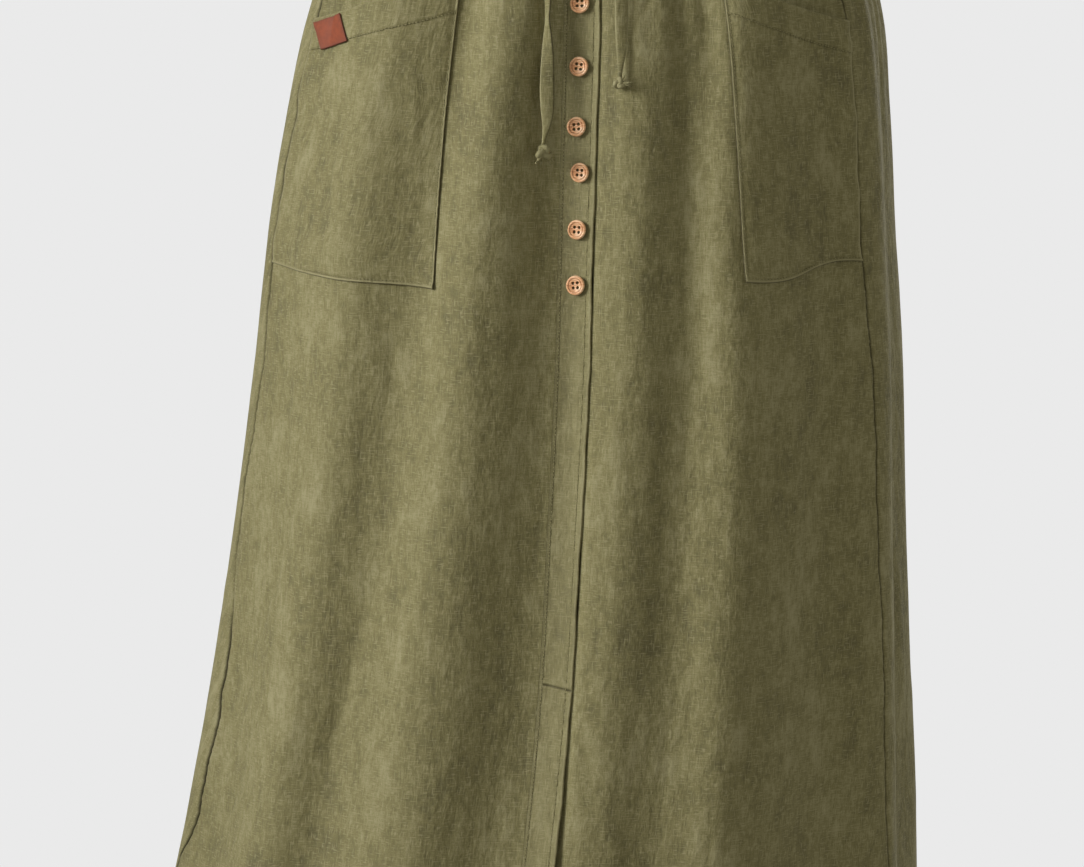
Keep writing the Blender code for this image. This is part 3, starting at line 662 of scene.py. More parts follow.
def side_seam(side, drop):
    """Angle of a side seam, with its small wanderings."""
    waver = 0.8 * np.sin(drop / 31.0) + 0.5 * np.sin(drop / 9.3 + 1.0) + 0.3 * np.sin(drop / 4.1)
    angle = section_value(side + "_seam", drop) + degrees_at_front(waver, drop)
    if side == "right":
        angle = angle + from_table(SEAM_PLACES, "shift", drop) + degrees_at_front(waver, drop)
    return angle


def run_places(angle, drop, layer, off, gathered=1.0):
    """Points and normals of a line over the cloth, in millimetres."""
    normal = cloth_normal(angle, drop, layer, gathered)
    raised = normal * np.broadcast_to(off, angle.shape)[..., None]
    return cloth_middle(angle, drop, layer, gathered) + raised, normal


def stitch_arrays(points, normals, pitch, seed):
    """Stitches along a line, each a small drawn-down loop of thread."""
    rng = np.random.default_rng(seed)
    length = line_lengths(points)
    count = max(int(length[-1] / pitch), 1)
    middles = (np.arange(count) + 0.5) * length[-1] / count + rng.normal(0, 0.06, count)
    half = pitch * STITCH_SHARE / 2

    def at(place, values):
        return np.stack([np.interp(place, length, values[:, axis]) for axis in range(3)], axis=-1)

    normal = at(middles, normals)
    along = unit(at(middles + half, points) - at(middles - half, points))
    side = unit(np.cross(normal, along))
    along = along + side * rng.normal(0, 0.09, (count, 1))
    verts = []
    for place, size, rise in STITCH_RINGS:
        for across, up in circle(STITCH_SIDES):
            radius = STITCH_RADIUS * size
            verts.append(at(middles, points) + along * place * half + side * across * radius
                         + normal * (up * radius * 0.8 + rise * STITCH_RADIUS))
    number = np.arange(len(verts)).reshape(len(STITCH_RINGS), STITCH_SIDES)
    caps = [number[0].tolist()[::-1], number[-1].tolist()]
    return np.stack(verts, axis=1), ring_faces(number) + caps


def make_stitching(name, runs, settings, holes=1.0):
    """One mesh of all the stitches of some lines, each a pair of points and normals. Their ends go down into
    needle holes, which carry painted shade as dark as holes says."""
    all_points = []
    all_faces = []
    offset = 0
    for seed, (points, normals) in enumerate(runs):
        verts, faces = stitch_arrays(points, normals, STITCH_PITCH, seed + 11)
        for stitch in verts:
            all_faces += [[offset + corner for corner in face] for face in faces]
            offset += len(stitch)
        all_points.append(verts.reshape(-1, 3))
    points = to_frame(np.concatenate(all_points))
    ends = np.repeat((holes, 0.0, 0.0, holes), STITCH_SIDES)
    mesh = mesh_from(name, points, all_faces, points[:, [0, 2]], seam=np.tile(ends, len(points) // len(ends)))
    return new_object(name, mesh, settings["thread"])


def circle(count):
    """Cosines and sines of equal turns round a circle."""
    return [(math.cos(2 * math.pi * n / count), math.sin(2 * math.pi * n / count)) for n in range(count)]


def ring_faces(number):
    """Faces between rings of points, whose numbers are the rows of a grid."""
    after = np.roll(number, -1, axis=1)
    return np.stack((number[:-1], after[:-1], after[1:], number[1:]), axis=-1).reshape(-1, 4).tolist()


def join_rings(bm, rings):
    for low, high in zip(rings, rings[1:]):
        for side in range(len(low)):
            after = (side + 1) % len(low)
            bm.faces.new((low[side], low[after], high[after], high[side]))


def cap_rings(bm, rings):
    bm.faces.new(rings[0][::-1])
    bm.faces.new(rings[-1])


def mesh_of(bm, name):
    mesh = bpy.data.meshes.new(name)
    bm.to_mesh(mesh)
    bm.free()
    return mesh


def points_of(mesh):
    places = np.empty(len(mesh.vertices) * 3, dtype=np.float32)
    mesh.vertices.foreach_get("co", places)
    return places.reshape(-1, 3)


def tube_mesh(name, tubes, sides=10):
    """Round tubes along lists of points, each with its radii, closed in a ring or capped."""
    bm = bmesh.new()
    layer = bm.loops.layers.uv.new("cloth")
    for points, radii, closed in tubes:
        count = len(points)
        rings = []
        for number, (point, radius) in enumerate(zip(points, radii)):
            after = points[(number + 1) % count] if closed or number < count - 1 else point
            before = points[number - 1] if closed or number > 0 else point
            along = (after - before).normalized()
            side = along.cross(Vector((0.3, 1.0, 0.2))).normalized()
            other = along.cross(side)
            rings.append([bm.verts.new(to_frame(np.array(point + side * x * radius + other * y * radius)))
                          for x, y in circle(sides)])
        if closed:
            join_rings(bm, rings + rings[:1])
        else:
            join_rings(bm, rings)
            cap_rings(bm, rings)
    bmesh.ops.recalc_face_normals(bm, faces=bm.faces)
    for face in bm.faces:
        for loop in face.loops:
            loop[layer].uv = (loop.vert.co.x, loop.vert.co.z)
    mesh = mesh_of(bm, name)
    mesh.shade_smooth()
    return mesh


def node(tree, kind, values=None, links=None, stops=(), **settings):
    """Add a node: its settings by name, values for its sockets, links from other sockets, and for a
    colour ramp the place and linear colour of each stop."""
    made = tree.nodes.new(kind)
    for name, value in settings.items():
        setattr(made, name, value)
    while stops and len(made.color_ramp.elements) < len(stops):
        made.color_ramp.elements.new(0.5)
    for number, (place, colour) in enumerate(stops):
        made.color_ramp.elements[number].position = place
        made.color_ramp.elements[number].color = (*colour, 1.0)
    for socket, value in (values or {}).items():
        made.inputs[socket].default_value = value
    for socket, source in (links or {}).items():
        tree.links.new(source, made.inputs[socket])
    return made


def new_material(name):
    material = bpy.data.materials.new(name)
    material.use_nodes = True
    tree = material.node_tree
    tree.nodes.clear()
    shader = node(tree, "ShaderNodeBsdfPrincipled")
    node(tree, "ShaderNodeOutputMaterial", links={"Surface": shader.outputs["BSDF"]})
    return material, tree, shader


def finish_surface(tree, shader, values, colour=None, relief=None, strength=0.0, depth=0.0):
    """Give a shader its plain values, its colour, and a relief whose depth is in millimetres."""
    for socket, value in values.items():
        shader.inputs[socket].default_value = value
    if colour is not None:
        tree.links.new(colour, shader.inputs["Base Color"])
    if relief is not None:
        bump = node(tree, "ShaderNodeBump", values={"Strength": strength, "Distance": depth * MM},
                    links={"Height": relief})
        tree.links.new(bump.outputs["Normal"], shader.inputs["Normal"])


def stretched_noise(tree, place, width, height, detail=2.0):
    """Noise whose spots have a real width and height, over places in metres."""
    scaled = node(tree, "ShaderNodeMapping", values={"Scale": (1 / width, 1 / height, 1.0)},
                  links={"Vector": place})
    return node(tree, "ShaderNodeTexNoise", values={"Scale": 1.0, "Detail": detail, "Roughness": 0.55},
                links={"Vector": scaled.outputs["Vector"]}, noise_dimensions="2D").outputs["Fac"]


def total(tree, *parts):
    """The sum of some sockets, each times its weight."""
    result = None
    for source, weight in parts:
        part = node(tree, "ShaderNodeMath", values={1: weight}, links={0: source},
                    operation="MULTIPLY").outputs["Value"]
        if result is not None:
            part = node(tree, "ShaderNodeMath", links={0: result, 1: part}, operation="ADD").outputs["Value"]
        result = part
    return result


def marked(tree, mark, colour, other):
    """One socket's colour, and another plain colour where a mark of the points is 1."""
    amount = node(tree, "ShaderNodeAttribute", attribute_name=mark).outputs["Fac"]
    return node(tree, "ShaderNodeMix", values={"B": (*other, 1.0)}, links={"Factor": amount, "A": colour},
                data_type="RGBA").outputs["Result"]


def washed_linen(tree, shader, scene):
    """Plain-woven linen, dyed in the piece and washed: matt, slubby, with threads that differ in tone
    both ways and a soft uneven dye that is mottled in upright streaks. The threads are real ones,
    about 0.9 mm where two lie together."""
    cloth = scene.skirt_cloth
    place = node(tree, "ShaderNodeUVMap", uv_map="cloth").outputs["UV"]
    warp = stretched_noise(tree, place, cloth.thread, cloth.slub)
    weft = stretched_noise(tree, place, cloth.slub * 0.7, cloth.thread)
    grit = stretched_noise(tree, place, cloth.thread, cloth.thread)
    cloud = stretched_noise(tree, place, 4 * MM, 7 * MM)
    mottle = stretched_noise(tree, place, 11 * MM, 20 * MM, 3.0)
    broad = stretched_noise(tree, place, 45 * MM, 90 * MM)
    tone = total(tree, (warp, 0.15), (weft, 0.12), (grit, 0.14), (cloud, 0.14), (mottle, 0.22), (broad, 0.23))
    colour = node(tree, "ShaderNodeValToRGB", links={"Fac": tone},
                  stops=((0.37, cloth.shade), (0.5, cloth.body), (0.63, cloth.light))).outputs["Color"]
    # here and there a thicker, paler length of thread shows, both ways
    for width, height in ((cloth.thread, 6 * MM), (6 * MM, cloth.thread)):
        slubs = stretched_noise(tree, place, width, height, 0.0)
        shown = node(tree, "ShaderNodeMapRange", values={"From Min": 0.67, "From Max": 0.8, "To Max": 0.6},
                     links={"Value": slubs}).outputs["Result"]
        colour = node(tree, "ShaderNodeMix", values={"B": (*cloth.light, 1.0)},
                      links={"Factor": shown, "A": colour}, data_type="RGBA").outputs["Result"]
    # painted light: the cloth is mixed paler towards the light thread on worn folds and on lit rolled edges,
    # where a painted highlight stands, and darker towards the seam colour where painted shade lies in seams,
    # gaps, laps, creases and under knots
    colour = marked(tree, "seam", marked(tree, "worn", colour, cloth.light), cloth.seam)
    relief = total(tree, (warp, 0.3), (weft, 0.3), (grit, 0.2), (cloud, 1.0), (mottle, 3.5))
    values = {"Roughness": 0.85, "IOR": 1.5, "Sheen Weight": 0.05, "Sheen Roughness": 0.5}
    finish_surface(tree, shader, values, colour, relief, 0.5, 0.9)


def turned_beech(tree, shader, scene):
    """Beech turned on a lathe and oiled: fine straight grain across the face, half matt."""
    trim = scene.skirt_trim
    place = node(tree, "ShaderNodeTexCoord").outputs["Object"]
    grain_place = node(tree, "ShaderNodeMapping", values={"Scale": (160.0, 1500.0, 400.0)},
                       links={"Vector": place}).outputs["Vector"]
    grain = node(tree, "ShaderNodeTexNoise", values={"Scale": 1.0, "Detail": 3.0},
                 links={"Vector": grain_place}).outputs["Fac"]
    cloud = node(tree, "ShaderNodeTexNoise", values={"Scale": 140.0, "Detail": 1.0},
                 links={"Vector": place}).outputs["Fac"]
    tone = total(tree, (grain, 0.65), (cloud, 0.35))
    stops = ((0.36, trim.wood_dark), (0.5, trim.wood), (0.62, trim.wood_light))
    colour = node(tree, "ShaderNodeValToRGB", links={"Fac": tone}, stops=stops).outputs["Color"]
    # painted shade on the side wall and in the ring groove
    colour = marked(tree, "worn", colour, trim.wood_side)
    finish_surface(tree, shader, {"Roughness": 0.48, "IOR": 1.5}, colour, grain, 0.25, 0.12)


def tanned_leather(tree, shader, scene):
    """Vegetable-tanned leather, die-cut with a burnished edge: even colour, fine pores, dull gloss."""
    trim = scene.skirt_trim
    place = node(tree, "ShaderNodeUVMap", uv_map="cloth").outputs["UV"]
    cloud = stretched_noise(tree, place, 5 * MM, 5 * MM, 4.0)
    pores = node(tree, "ShaderNodeTexVoronoi", values={"Scale": 1 / (0.7 * MM)},
                 links={"Vector": place}).outputs["Distance"]
    stops = ((0.35, [value * 0.78 for value in trim.leather]), (0.65, trim.leather))
    colour = node(tree, "ShaderNodeValToRGB", links={"Fac": cloud}, stops=stops).outputs["Color"]
    finish_surface(tree, shader, {"Roughness": 0.6}, marked(tree, "worn", colour, trim.leather_edge),
                   pores, 0.3, 0.15)


def spun_thread(tree, shader, scene):
    """Spun polyester sewing thread, a shade paler than the cloth, with a soft twist."""
    trim = scene.skirt_trim
    place = node(tree, "ShaderNodeTexCoord").outputs["Object"]
    twist = node(tree, "ShaderNodeTexNoise", values={"Scale": 1200.0, "Detail": 1.0},
                 links={"Vector": place}).outputs["Fac"]
    stops = ((0.35, [value * 0.72 for value in trim.thread]), (0.65, trim.thread))
    colour = node(tree, "ShaderNodeValToRGB", links={"Fac": twist}, stops=stops).outputs["Color"]
    # painted shade in the needle holes at the stitches' ends
    finish_surface(tree, shader, {"Roughness": 0.65}, marked(tree, "seam", colour, trim.hole))


FINISHES = {"linen": washed_linen, "wood": turned_beech, "leather": tanned_leather, "thread": spun_thread}


def materials():
    """Each finish, made once and shared by its pieces."""
    for make in FINISHES.values():
        if make.__name__ not in bpy.data.materials:
            material, tree, shader = new_material(make.__name__)
            make(tree, shader, bpy.context.scene)
    return {name: bpy.data.materials[make.__name__] for name, make in FINISHES.items()}


class SKIRT_OT_drawstring(Operator):
    """Hang the two flat ends of the drawstring, with their knots"""
    bl_idname = "skirt.drawstring"
    bl_label = "Drawstring ends"

    def string_frame(self, end, drop, off):
        """Middle, sideways direction and normal of a tape that hangs over the cloth."""
        way = (drop - STRING_EXIT_DROP) / (end.knot_drop - STRING_EXIT_DROP)
        aside = end.aside + (end.knot_aside - end.aside) * way
        share = (aside - section_value("shift", drop)) / section_value("half_width", drop)
        points, normal = run_places(np.degrees(np.arcsin(share)), drop, end.layer, off, 0.0)
        return points, unit(np.cross(UP, normal)), normal

    def string_off(self, end, drop):
        cloth = WAISTBAND_CLOTH / 2 + (CLOTH - WAISTBAND_CLOTH) / 2 * ease((drop - WAISTBAND_HEIGHT) / 60)
        knot = end.stand_off * ease((drop - end.knot_drop + end.reach) / end.reach)
        return cloth + gather_depth(drop) + STRING_CLEARANCE + STRING_THICKNESS / 2 + knot

    def make_tape(self, side, end, settings):
        share = np.linspace(0.0, 1.0, STRING_STEPS)
        drop = STRING_EXIT_DROP + share * (end.knot_drop - STRING_EXIT_DROP)
        turn, width, stray = (from_table(TAPE_TURNS[side], name, share, "share")
                              for name in ("turn", "width", "stray"))
        cosine, sine = np.cos(np.radians(turn)), np.sin(np.radians(turn))
        # the tape comes out of its hole in the waistband, and then lies over the cloth
        emerge = ease(share / 0.03)
        off = self.string_off(end, drop) * emerge + (WAISTBAND_CLOTH / 2 + 0.4) * (1 - emerge)
        middle, across, normal = self.string_frame(end, drop, off + np.abs(sine) * width / 2)
        middle = middle + across * stray[:, None]
        face = across * cosine[:, None] + normal * sine[:, None]
        out = normal * cosine[:, None] - across * sine[:, None]
        # round its section: shares of the half width, there on the outer side and back on the inner
        way = np.linspace(-1, 1, TAPE_COLUMNS)
        place = np.concatenate((way, way[::-1]))
        thick = (0.55 + 0.9 * ease((share - 0.93) / 0.07))[:, None] * np.repeat((1, -1), TAPE_COLUMNS)
        bulge = 0.5 * (1 - place ** 2)
        rise = thick * (0.45 + 0.55 * np.sqrt(1 - np.minimum(np.abs(place), 0.98) ** 2)) + bulge
        aside = place * width[:, None] / 2
        points = middle[:, None] + face[:, None] * aside[..., None] + out[:, None] * rise[..., None]
        number = np.arange(rise.size).reshape(rise.shape)
        faces = ring_faces(number) + [number[0].tolist(), number[-1][::-1].tolist()]
        below = np.broadcast_to(drop[:, None], rise.shape)
        flat = (np.stack((aside, below), axis=-1) + np.array(TAPE_WEAVE)) * MM
        # painted light: the folded edge towards the light gets a painted highlight, and the right end's edge
        # away from the light gets painted shade
        lit = np.where(place < 0, 1.0, 0.0 if side == "right" else 0.9)
        worn = np.tile(lit * np.abs(place) ** 8, STRING_STEPS)
        dark = np.tile((0.75 - 0.75 * lit) * np.abs(place) ** 10, STRING_STEPS)
        name = f"tape_end_{side}"
        mesh = mesh_from(name, to_frame(points), faces, flat, worn=worn, seam=dark)
        bm = bmesh.new()
        bm.from_mesh(mesh)
        bmesh.ops.recalc_face_normals(bm, faces=bm.faces)
        bm.to_mesh(mesh)
        bm.free()
        piece = new_object(name, mesh, settings["linen"], f"drawstring_{side}", slot="drawstring")
        return piece, to_frame(middle), (middle[-1], across[-1], normal[-1])

    def make_knot(self, side, place, settings):
        """A single knot in the tape, with its short frayed tails."""
        middle, across, normal = (Vector(value) for value in place)
        knot = KNOTS[side]
        down = Vector((0, 0, -1))
        down = (down - normal * down.dot(normal)).normalized()
        centre = middle + down * knot.below
        points = []
        for number in range(KNOT_POINTS):
            turn = 2 * math.pi * number / KNOT_POINTS
            x = math.sin(turn) + 1.7 * math.sin(2 * turn)
            y = math.cos(turn) - 1.7 * math.cos(2 * turn)
            z = -math.sin(3 * turn)
            loop = across * x * knot.wide + down * y * 1.22 + normal * (z * 1.2 + 0.5)
            points.append(centre + loop * knot.size)
        tubes = [(points, [1.8 * knot.size] * len(points), True)]
        for aside, below, out, radius in knot.tails:
            tip = centre + across * aside + down * below + normal * out
            bent = centre + across * aside * 0.5 + down * below * 0.35 + normal * (out + 1.2)
            ways = [step / (TAIL_POINTS - 1) for step in range(TAIL_POINTS)]
            curve = [centre * (1 - t) ** 2 + bent * 2 * t * (1 - t) + tip * t * t for t in ways]
            tubes.append((curve, [radius * (1.1 - 0.5 * t) for t in ways], False))
            rng = np.random.default_rng(int(abs(aside) * 10 + radius * 100))
            for strand in range(TAIL_STRANDS):
                spread = Vector(rng.normal(0, 0.45, 3))
                end = tip + (tip - bent).normalized() * (1.4 + rng.random()) + spread
                tubes.append(([curve[-3], tip + spread * 0.4, end], [0.3, 0.26, 0.1], False))
        mesh = tube_mesh(f"tape_knot_{side}", tubes)
        away = (points_of(mesh) - to_frame(np.array(centre))) / MM / knot.size
        raised = away @ np.array(normal)
        reach = np.linalg.norm(away, axis=-1)
        # painted highlight on the knot's raised outer side, paler towards the tails' tips, and painted shade
        # on its underside towards the cloth
        mark_points(mesh, worn=0.8 * ease((raised - 1.2) / 1.6) + ease((reach - 5.2) / 2.0),
                    seam=0.85 * ease((0.5 - raised) / 1.8))
        return new_object(f"tape_knot_{side}", mesh, settings["linen"], f"knot_{side}", slot="drawstring")

    def execute(self, context):
        settings = materials()
        for side, end in DRAWSTRING_ENDS.items():
            tape, path, last = self.make_tape(side, end, settings)
            knot = self.make_knot(side, last, settings)
            tuple(path[0])
            round(float(line_lengths(path)[-1]), 3)
            [tuple(p) for p in path]
        return {"FINISHED"}


class SKIRT_OT_panels(Operator):
    """Cut the two fronts and the back, gathered at the waist, with their seams, folds and creases"""
    bl_idname = "skirt.panels"
    bl_label = "Panels"

    def side_marks(self, layer, drop):
        """Angles of a panel's sides. The lapped front also has the angle past the band's edge up to
        which its columns are finer."""
        right, left = band_edges(drop)
        if layer == "over":
            return side_seam("right", drop) + SEAM_OPEN, right - degrees_at_front(0.05, drop)
        if layer == "under":
            return (right + degrees_at_front(SEAM_GAP, drop), left + degrees_at_front(LAP_REACH, drop),
                    side_seam("left", drop) - SEAM_OPEN)
        return side_seam("left", drop) + SEAM_OPEN, 360 + side_seam("right", drop) - SEAM_OPEN

    def panel_grid(self, layer, step):
        """Angles and drops of a panel's points."""
        drops = PANEL_TOP + eased_steps(SKIRT_LENGTH - PANEL_TOP, step)
        shares = equal_shares(*self.side_marks(layer, 600.0)[-2:], 600.0, step)
        *lap, start, end = self.side_marks(layer, drops)
        angle, drop = angle_grid(start, end, shares, drops)
        if lap:
            ways = 1 - np.array(LAP_COLUMNS) / LAP_COLUMNS[0]
            angle = np.concatenate((angle_grid(lap[0], start, ways, drops)[0], angle), axis=1)
            drop = np.repeat(drops[:, None], angle.shape[1], axis=1)
        return angle, drop

    def make_panel(self, name, layer, step, seams, flat, settings):
        """A panel of linen. Its sides are side seams, or run flush with the band or under it."""
        angle, drop = self.panel_grid(layer, step)
        middle = cloth_middle(angle, drop, layer)
        normal = cloth_normal(angle, drop, layer)
        from_start = grid_lengths(middle)
        from_end = from_start[:, -1:] - from_start
        above_hem = SKIRT_LENGTH - drop
        below_waist = drop - PANEL_TOP
        lift = np.zeros_like(drop)
        dark = np.zeros_like(drop)
        edge = np.full_like(drop, 9.0)
        for kind, distance in zip(seams, (from_start, from_end)):
            if kind in SEAM_SHADOWS:
                # the seam is drawn in more at some places than at others, and its painted shadow line is
                # darker there
                on_left = kind == "left_back" or (kind == "front" and layer == "under")
                drawn = LEFT_SEAM_DRAWN if on_left else from_table(SEAM_PLACES, "drawn", drop)
                lift -= (0.35 + 0.8 * drawn) * bell(distance, 1.3)
                lift += seam_pucker(drop, distance, 2.3 if on_left else 1.3)
                dark += drawn * bell(distance, SEAM_SHADOWS[kind])
                edge = np.minimum(edge, distance)
            elif kind == "band":
                # the band lies a little higher, and the panel's edge is sewn up to it
                lift += (BAND_CLOTH - CLOTH) / 2 * bell(distance, 4.0) + seam_pucker(drop, distance, 0.4)
        if layer == "under":
            # the lap's shadow lies along the band's free edge
            past = (angle - band_edges(drop)[1]) * section_value("half_width", drop) * math.pi / 180
            depth = 0.6 + 0.35 * ease((drop - 230) / 50)
            depth += 0.15 * np.sin(drop / 38.0) + 0.1 * np.sin(drop / 11.0)
            dark += depth * np.clip(1.05 - np.maximum(past - lap_waver(drop), 0.0) / 0.8, 0, 1)
        lift -= 0.7 * bell(below_waist, 1.6)
        # the turned hem is a second layer, held down by its row of stitches
        lift += 0.35 * ease((HEM_STITCH + 1 - above_hem) / 3.0) - 0.3 * bell(above_hem - HEM_STITCH, 1.4)
        half = CLOTH / 2 * rounding(nearest(edge, above_hem, below_waist), 1.0)
        piece = make_wall(f"linen_{name}", f"{name}_panel", settings["linen"], middle, normal, lift, half,
                          (-from_end if layer == "over" else from_start, drop),
                          worn=bell(above_hem, 1.5), seam=dark)

    def execute(self, context):
        cloth = context.scene.skirt_cloth
        for name, layer, step, seams, flat in (
            ("front_right", "over", cloth.front_step, ("front", "band"), (0.34, 0.82)),
            ("front_left", "under", cloth.front_step, ("under", "front"), (0.36, 0.82)),
            ("back", "back", cloth.back_step, ("left_back", "right_back"), (0.9, 0.82)),
        ):
            self.make_panel(name, layer, step / MM, seams, flat, materials())
        return {"FINISHED"}


class SKIRT_OT_band(Operator):
    """Fold the button band and the waistband"""
    bl_idname = "skirt.band"
    bl_label = "Button band and waistband"

    def make_band(self, settings, step):
        drops = PANEL_TOP + eased_steps(SKIRT_LENGTH - PANEL_TOP, step)
        drops = np.concatenate((drops[drops <= SLIT_TOP - 9], np.arange(SLIT_TOP - 8.5, SLIT_TOP + 9, 0.6),
                                drops[drops >= SLIT_TOP + 9]))
        places = eased_steps(BAND_WIDTH_TOP, 1.1, (0.3, 0.7, 1.2)) / BAND_WIDTH_TOP
        angle, drop = angle_grid(*band_edges(drops), places, drops)
        middle = cloth_middle(angle, drop, "over")
        normal = cloth_normal(angle, drop, "over")
        length = grid_lengths(middle)
        from_end = length[:, -1:] - length
        waver = lap_waver(drop)
        lift = 0.25 * bell(from_end, 7.0) * (waver + 0.6)
        lift -= 0.22 * bell(from_end - BAND_FREE_STITCH, 0.9) + 0.16 * bell(length - EDGE_STITCH, 0.8)
        lift += seam_pucker(drop, length, 0.4) + seam_pucker(drop, from_end - 4, 2.0) * 0.7
        # where the fronts are sewn together above the slit, a crisp crease runs across the band
        below = drop - SLIT_TOP - 1.0 - 0.15 * (length - 14)
        reach = ease((length - 1) / 4) * ease((from_end + 1) / 2)
        rolls = 0.4 * bell(below - 1.6, 1.1) + 0.35 * bell(below + 2.2, 1.6)
        lift += reach * (rolls - 1.1 * bell(below, 0.8))
        # painted shade in the crease, along the band's stitched edge and in its stitch line
        dark = 0.75 * reach * bell(below, 0.65) + 0.3 * bell(length, 0.5)
        dark += 0.18 * bell(length - EDGE_STITCH, 0.6)
        half = BAND_CLOTH / 2 * rounding(nearest(from_end, SKIRT_LENGTH - drop, drop - PANEL_TOP), 0.8)
        shift = unit(np.cross(normal, UP)) * (waver * bell(from_end, 5.0))[..., None]
        # the band is painted a little paler all over, with a painted highlight along the roll of its free
        # edge
        piece = make_wall("linen_button_band", "button_band", settings["linen"], middle + shift, normal, lift,
                          half, (length, drop), moved=BAND_WEAVE, worn=0.2 + 0.5 * bell(from_end - 0.9, 0.7),
                          seam=dark)

    def make_waistband(self, settings, step):
        """The casing, whose end under the button lies inside its other end."""
        drops = eased_steps(WAISTBAND_HEIGHT, step)
        start, end = band_edges(drops)[0], 360 + band_edges(drops)[1]
        angle, drop = angle_grid(start, end, equal_shares(start[0], end[0], 20.0, 1.6), drops)
        middle = cloth_middle(angle, drop, "waist_under")
        normal = cloth_normal(angle, drop, "waist_under")
        length = grid_lengths(middle)
        rim = nearest(length, length[:, -1:] - length, drop, WAISTBAND_HEIGHT - drop)
        lift = -0.35 * sum(bell(drop - row, 1.0) for row in WAIST_STITCHES)
        piece = make_wall("linen_waistband", "waistband", settings["linen"], middle, normal, lift,
                          WAISTBAND_CLOTH / 2 * rounding(rim, 1.5), (length, drop), moved=WAISTBAND_WEAVE,
                          worn=0.5 * bell(drop, 1.2))

    def execute(self, context):
        step = context.scene.skirt_cloth.fine_step / MM
        self.make_band(materials(), step)
        self.make_waistband(materials(), step)
        return {"FINISHED"}


def pocket_place(side, across, down):
    """Places on a pocket: across runs from the side seam inwards, down from the opening."""
    pocket = POCKETS[side]
    top = pocket.seam_top + (pocket.inner_top - pocket.seam_top) * across
    bottom = pocket.seam_bottom + (pocket.inner_bottom - pocket.seam_bottom) * across
    bottom = bottom + pocket.sway * np.sin(2 * np.pi * across)
    bulge = np.sin(np.pi * across)
    drop = top + (bottom - top) * down + POCKET_HOLLOW * bulge * (1 - down)
    _, inner, _ = front_marks(side, drop)
    seam = side_seam(side, drop)
    gape = POCKET_GAPE * np.sqrt(np.maximum(bulge, 0.0)) * (1 - down) ** 3
    return seam + (inner - seam) * across, drop, gape


def pocket_surface(side, across, down):
    """Middle of a pocket's wall: sewn down at its sides and bottom, and loose at its opening."""
    pocket = POCKETS[side]
    angle, drop, gape = pocket_place(side, across, down)
    inward = nearest((1 - across) * pocket.sewn_width, across * pocket.sewn_width,
                     (1 - down) * (pocket.seam_bottom - pocket.seam_top))
    sewn = (1 - ease(inward / 9.0)) * ease(down / 0.06)
    loose = POCKET_CLEARANCE - POCKET_SEWN + gather_depth(drop)
    off = CLOTH + POCKET_SEWN + loose * (1 - sewn) + gape
    middle, normal = run_places(angle, drop, pocket.layer, off, sewn)
    return middle, normal, drop


class SKIRT_OT_pockets(Operator):
    """Sew on the two patch pockets, with hemmed slanted openings"""
    bl_idname = "skirt.pockets"
    bl_label = "Pockets"

    def make_pocket(self, side, pocket, settings, step):
        height = pocket.seam_bottom - pocket.seam_top
        across = eased_steps(pocket.width, step, POCKET_EDGE_STEPS) / pocket.width
        across = POCKET_SEAM_SHARE + (1 - POCKET_SEAM_SHARE) * across
        down = eased_steps(height, step, POCKET_EDGE_STEPS)
        hem = POCKET_HEM * height / (height + 15)
        down = np.concatenate((down[down < hem - 2.5], hem + np.arange(-2.4, 2.5, 0.6),
                               down[down > hem + 2.5]))
        grid_across, grid_down = np.meshgrid(across, down)
        # the rows of points run along the hem's own line, and come back to the pocket's below it
        grid_down = grid_down - POCKET_HEM_TAPER * grid_across * np.interp(
            down, (0.0, hem, height / 2), (0.0, 1.0, 0.0))[:, None]
        grid_down = grid_down / height
        middle, normal, drop = pocket_surface(side, grid_across, grid_down)
        length = grid_lengths(middle)
        from_inner = length[:, -1:] - length
        below = grid_down * (height + 15) + POCKET_HEM_TAPER * grid_across
        below = np.where(grid_down < 0.004, 0.0, below)
        above = (1 - grid_down) * (height + 5)
        lift = 0.45 * ease((POCKET_HEM + 1 - below) / 2.5) - 0.4 * bell(below - POCKET_HEM, 0.9)
        lift += seam_pucker(drop, from_inner - EDGE_STITCH, 0.7) + seam_pucker(drop, above - EDGE_STITCH, 2.9)
        lift += seam_pucker(length, below - POCKET_HEM, 4.1)
        # the turned edge rolls up between the stitches and the fold, and the corner stands up
        sewn = np.minimum(from_inner, above)
        uneven = 0.8 + 0.25 * np.sin((drop + length) / 21.0) + 0.15 * np.sin((drop + length) / 6.7)
        lift += uneven * (0.5 * bell(sewn - 0.9, 0.8) - 0.35 * bell(sewn - 2.3, 0.6))
        corner = 0.9 * bell(from_inner, 6.0) * bell(above, 5.0)
        rim = nearest(length, from_inner, below, above)
        # painted shade under the turned edges and below the hem's fold, and on the right pocket along the
        # side seam
        dark = 0.9 * bell(sewn, 0.35) + 0.04 * bell(below - POCKET_HEM - 0.8, 0.6)
        if side == "right":
            dark += from_table(SEAM_PLACES, "drawn", drop) * bell(length, 1.15)
        # a painted highlight runs along the rolled edges
        piece = make_wall(f"linen_pocket_{side}", f"pocket_{side}", settings["linen"], middle, normal,
                          lift + corner, CLOTH / 2 * rounding(rim, 0.7), (length, drop),
                          np.minimum(lift, 0) + corner, POCKET_WEAVE, worn=0.8 * bell(rim - 1.0, 0.8),
                          seam=dark)

    def execute(self, context):
        for side, pocket in POCKETS.items():
            self.make_pocket(side, pocket, materials(), context.scene.skirt_cloth.fine_step / MM)
        return {"FINISHED"}


